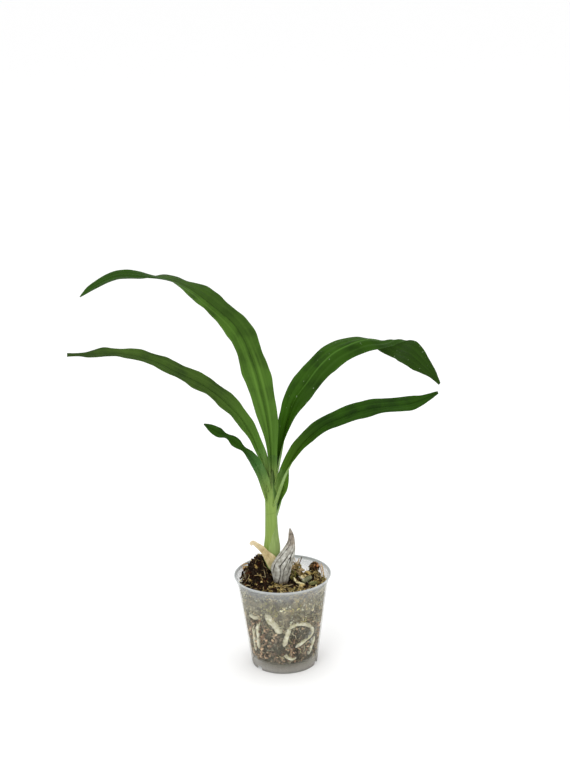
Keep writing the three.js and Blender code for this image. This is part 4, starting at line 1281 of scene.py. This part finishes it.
def round_lump(name, material):
    """A crumbly round lump of fibre and bark, made of many small crumbs on a dark ball."""
    place, size, _, _, slot, _ = CHIPS[name]
    heap = Heap()
    random = np.random.default_rng(61)
    points, faces = ball(4)
    half = np.array(size) / 2
    rough_ball = points * (0.74 + 0.2 * rough(points, 0.5, 8))[:, None]
    heap.add(rough_ball * half + place, faces, linear(0x2a170c))
    shapes, crumb_faces = crumb_shapes(16, 2, 12)
    for _ in range(LUMP_CRUMB_COUNT):
        way = unit(random.normal(size=3))
        crumb = random.uniform(0.5, 1.5)
        centre = way * half * random.uniform(0.7, 0.92) + place
        stretch = stretch_of(crumb, random, (0.8, 1.6), (0.5, 0.9), (0.4, 0.8))
        # Painted light: the lighter crumbs gather on the side facing up, right and front.
        lit_side = way[0] + 0.8 * way[2] - 0.5 * way[1] + 0.25 * random.normal() > 1.15
        colour = pick(LIT_SIDE_CRUMBS if lit_side else LUMP_CRUMBS, random)
        points = turned(pick(shapes, random) * stretch, random) + centre
        heap.add(points, crumb_faces, linear(colour))
    for _ in range(LUMP_FIBRE_COUNT):
        start = unit(random.normal(size=3)) * half * 0.85 + place
        heading = random.normal(size=3)
        path = curly_path(start, heading, random.uniform(2, 5), random, 0.4, steps=8)
        reach = np.minimum(np.linalg.norm((path - place) / half, axis=1), 1.05)[:, None]
        strand(heap, unit(path - place) * reach * half + place, 0.18, linear(0xa07a50), sides=4)
    piece = heap.piece(name + "_bark", material, slot)
    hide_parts(name)


# Pot

def pot_outline():
    """Radius and height pairs round the wall, from the floor's underside out, over the rim and back."""
    flared = FLARE_FOOT + FLARE_HEIGHT * np.linspace(0, 0.93, 12)
    outside = [(float(wall_outside(z) + flare(z)), z) for z in flared]
    inside = [(r - WALL, z) for r, z in reversed(outside)]
    rim, top = RIM_RADIUS, POT_HEIGHT
    bead = [(rim - 0.1, top - 0.75), (rim, top - 0.45), (rim - 0.12, top - 0.12),
            (rim - 0.42, top), (rim - 0.85, top - 0.02), (rim - LIP + 0.05, top - 0.3)]
    straight = FLARE_FOOT * np.linspace(0, 1, 26)
    up = [(float(wall_outside(z)), z) for z in straight[:-1]]
    down = [(float(wall_inside(z)), z) for z in straight[::-1][1:] if z > FLOOR_TOP + 1]
    foot_inside = float(wall_outside(0)) - WALL - 0.2
    corner = float(wall_inside(FLOOR_TOP))
    under = FLOOR_TOP - FLOOR
    outline = [(0.0, under), (corner - 1.0, under), (corner - 0.4, under - 0.4)]
    outline += [(foot_inside, 0.15), (foot_inside + 0.15, 0.0), (FOOT_RADIUS - 0.15, 0.0)]
    outline += [(r, z) for r, z in up if z > 0.1] + outside + bead + inside + down
    outline += [(corner, FLOOR_TOP + 0.5), (corner - 0.5, FLOOR_TOP), (0.0, FLOOR_TOP)]
    return outline


def cutter(name, points, faces):
    mesh = bpy.data.meshes.new(name)
    mesh.from_pydata([list(p * MM + POT_AXIS) for p in points], [], faces)
    return add_object(name, mesh)


def notch_cutter(degrees):
    half, top, corner = NOTCH_WIDTH / 2, NOTCH_HEIGHT, 1.5
    arc = [(math.cos(t), math.sin(t)) for t in np.linspace(0, math.pi / 2, 6)]
    shape = [(-half, -1), (half, -1)]
    shape += [(half - corner + corner * c, top - corner + corner * s) for c, s in arc]
    shape += [(-half + corner - corner * s, top - corner + corner * c) for c, s in arc]
    a = math.radians(degrees)
    outward, sideways = np.array([math.cos(a), math.sin(a), 0]), np.array([-math.sin(a), math.cos(a), 0])
    ends = (FOOT_RADIUS - 4, FOOT_RADIUS + 4)
    points = np.array([outward * r + sideways * x + np.array([0, 0, z]) for r in ends for x, z in shape])
    n = len(shape)
    faces = [[i, (i + 1) % n, n + (i + 1) % n, n + i] for i in range(n)]
    faces += [list(range(n))[::-1], list(range(n, 2 * n))]
    return cutter("notch cutter", points, faces)


def drain_cutter(x, y):
    heights = (FLOOR_TOP - 3 * FLOOR, FLOOR_TOP + 2 * FLOOR)
    points, faces = closed_tube(np.array([level_ring(DRAIN_RADIUS, z, DRAIN_SIDES, x, y) for z in heights]))
    return cutter("drain cutter", points, faces)


def pot_piece(material):
    """The turned pot, with the notches and drain holes cut out and their edges kept sharp."""
    points, faces = closed_tube(np.array([level_ring(r, z, POT_SIDES) for r, z in pot_outline()[1:-1]]))
    piece = make_mesh("clear_pot", points, faces, material, "clear_plastic")
    cutters = [notch_cutter(a) for a in NOTCH_ANGLES] + [drain_cutter(0, 0)]
    for i in range(DRAIN_COUNT):
        a = 2 * math.pi * i / DRAIN_COUNT
        cutters.append(drain_cutter(DRAIN_CIRCLE * math.cos(a), DRAIN_CIRCLE * math.sin(a)))
    for body in cutters:
        cut = piece.modifiers.new("cut", "BOOLEAN")
        cut.operation = "DIFFERENCE"
        cut.solver = "EXACT"
        cut.object = body
    bpy.context.view_layer.update()
    seen = piece.evaluated_get(bpy.context.evaluated_depsgraph_get())
    carved = bpy.data.meshes.new_from_object(seen)
    piece.modifiers.clear()
    piece.data = carved
    for body in cutters:
        bpy.data.objects.remove(body)
    carved.polygons.foreach_set("use_smooth", [True] * len(carved.polygons))
    carved.set_sharp_from_angle(angle=math.radians(50))
    heights = np.array([v.co.z for v in carved.vertices]) / (POT_HEIGHT * MM)
    carved.attributes.new("height", "FLOAT", "POINT").data.foreach_set("value", heights.astype(np.float32))
    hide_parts("pot")


# The plant and its pot

# Leaf colours. ribs is a painted highlight beside the midrib, a midrib darker than the blade is painted shade
# in its groove, and shade and painted_half_shade darken one half of the blade as painted shade.
LEAF_LOOKS = {
    "leaf_tall_left": dict(blade=0x3a581a, dark=0x2b4412, light=0x587a2e, foot=0x52762c, outside=0x3f6226,
                           under=0x2b4a12, midrib=0x223a10, ribs=0.7, rib_end=0.42, painted_half_shade=(0.0, 0.55)),
    "leaf_low_left": dict(blade=0x354c18, dark=0x283c14, light=0x4a6428, foot=0x4f7628, outside=0x4f702e,
                          under=0x334c1c, midrib=0x1f380c, ribs=0.15, painted_half_shade=(0.25, 0.0)),
    "leaf_small_left": dict(blade=0x234208, dark=0x193208, light=0x335718, foot=0x426a33, outside=0x3f6026,
                            under=0x224008, midrib=0x1d390a),
    "leaf_big_right": dict(blade=0x29480a, dark=0x1c3506, light=0x3d601c, foot=0x37600f, outside=0x64863c,
                           under=0x253f0a, midrib=0x4a7028, ribs=0.1, shade=(0.0, 0.85), painted_half_shade=(0.0, 0.2),
                           specks=0.4),
    "leaf_low_right": dict(blade=0x213f06, dark=0x172f05, light=0x315612, foot=0x466a18, outside=0x7d9c50,
                           under=0x1e3a08, midrib=0x17320a, shade=(0.3, 0.0)),
    "leaf_small_right": dict(blade=0x5d8426, dark=0x466c18, light=0x749a3c, foot=0x608834, outside=0x4c7a2c,
                             under=0x46701e, midrib=0x3f681a),
}

for seed, (name, look) in enumerate(LEAF_LOOKS.items()):
    leaf_piece(name, leaf_material(name.replace("_", " "), **look), seed=10 + 2 * seed)
sheaths_piece(sheath_material())
bract_piece(bract_material())
bulb_piece(bulb_material())
roots_piece(root_material())
bark = bark_material("bark mix")
mix_core(bark)
top_bits(bark)
wall_bits(bark)
fibre_look = bark_material("fibre", depth=0.1, contrast=0.35)
fibres(fibre_look)
single_strands(fibre_look)
tuft(fibre_look)
chip_look = bark_material("bark chip", depth=0.4, contrast=0.5)
round_lump("bark_chip_round", chip_look)
for seed, name in enumerate(list(CHIPS)[1:]):
    chip_piece(name, chip_look, seed)
pot_piece(pot_material())


# Floor, light and camera, in metres. A light is its place, its size and its power.

LIGHTS = {
    "key": ((-0.7, -1.4, 1.5), 1.1, 9),
    "fill": ((1.3, -1.2, 0.7), 1.2, 3),
    "top": ((0.1, 0.4, 1.8), 1.0, 4),
}
LIGHT_TARGET = (0, 0, 0.2)
SKY_STRENGTH = 1.04


def floor():
    half = 12.0
    mesh = bpy.data.meshes.new("floor")
    corners = [(-half, -half, 0), (half, -half, 0), (half, half, 0), (-half, half, 0)]
    mesh.from_pydata(corners, [], [(0, 1, 2, 3)])
    piece = add_object("floor", mesh)
    shader = Shader("pale floor", roughness=0.9, specular=0.1)
    shader.set("Base Color", linear(0xfafafa))
    mesh.materials.append(shader.material)


def area_light(name, place, size, power):
    data = bpy.data.lights.new(name, "AREA")
    data.shape = "DISK"
    data.size = size
    data.energy = power
    lamp = add_object(name, data)
    lamp.location = place
    lamp.rotation_euler = (Vector(LIGHT_TARGET) - Vector(place)).to_track_quat("-Z", "Y").to_euler()


def studio():
    world = bpy.data.worlds.new("studio")
    bpy.context.scene.world = world
    world.use_nodes = True
    sky = world.node_tree.nodes["Background"]
    sky.inputs["Color"].default_value = (1, 1, 1, 1)
    sky.inputs["Strength"].default_value = SKY_STRENGTH
    for name, light in LIGHTS.items():
        area_light(name, *light)


# The camera's place is in millimetres round the pot's axis, as the tables are

FOCAL_LENGTH = 85
SENSOR = 36
CAMERA_PLACE = (7.0, -1534.1, 759.5)
CAMERA_DROP = 17.5
CAMERA_ROLL = 1.5


def camera():
    data = bpy.data.cameras.new("camera")
    data.lens = FOCAL_LENGTH
    data.sensor_fit = "VERTICAL"
    data.sensor_height = SENSOR
    data.clip_end = 60
    piece = add_object("camera", data)
    drop, roll = math.radians(CAMERA_DROP), math.radians(CAMERA_ROLL)
    right = Vector((1, 0, 0))
    up = Vector((0, math.sin(drop), math.cos(drop)))
    back = right.cross(up)
    turned_right = math.cos(roll) * right - math.sin(roll) * up
    turned_up = math.sin(roll) * right + math.cos(roll) * up
    matrix = Matrix((turned_right, turned_up, back)).transposed().to_4x4()
    matrix.translation = Vector(np.array(CAMERA_PLACE) * MM + POT_AXIS)
    piece.matrix_world = matrix
    bpy.context.scene.camera = piece


floor()
studio()
camera()
bpy.context.scene.view_settings.view_transform = "Standard"
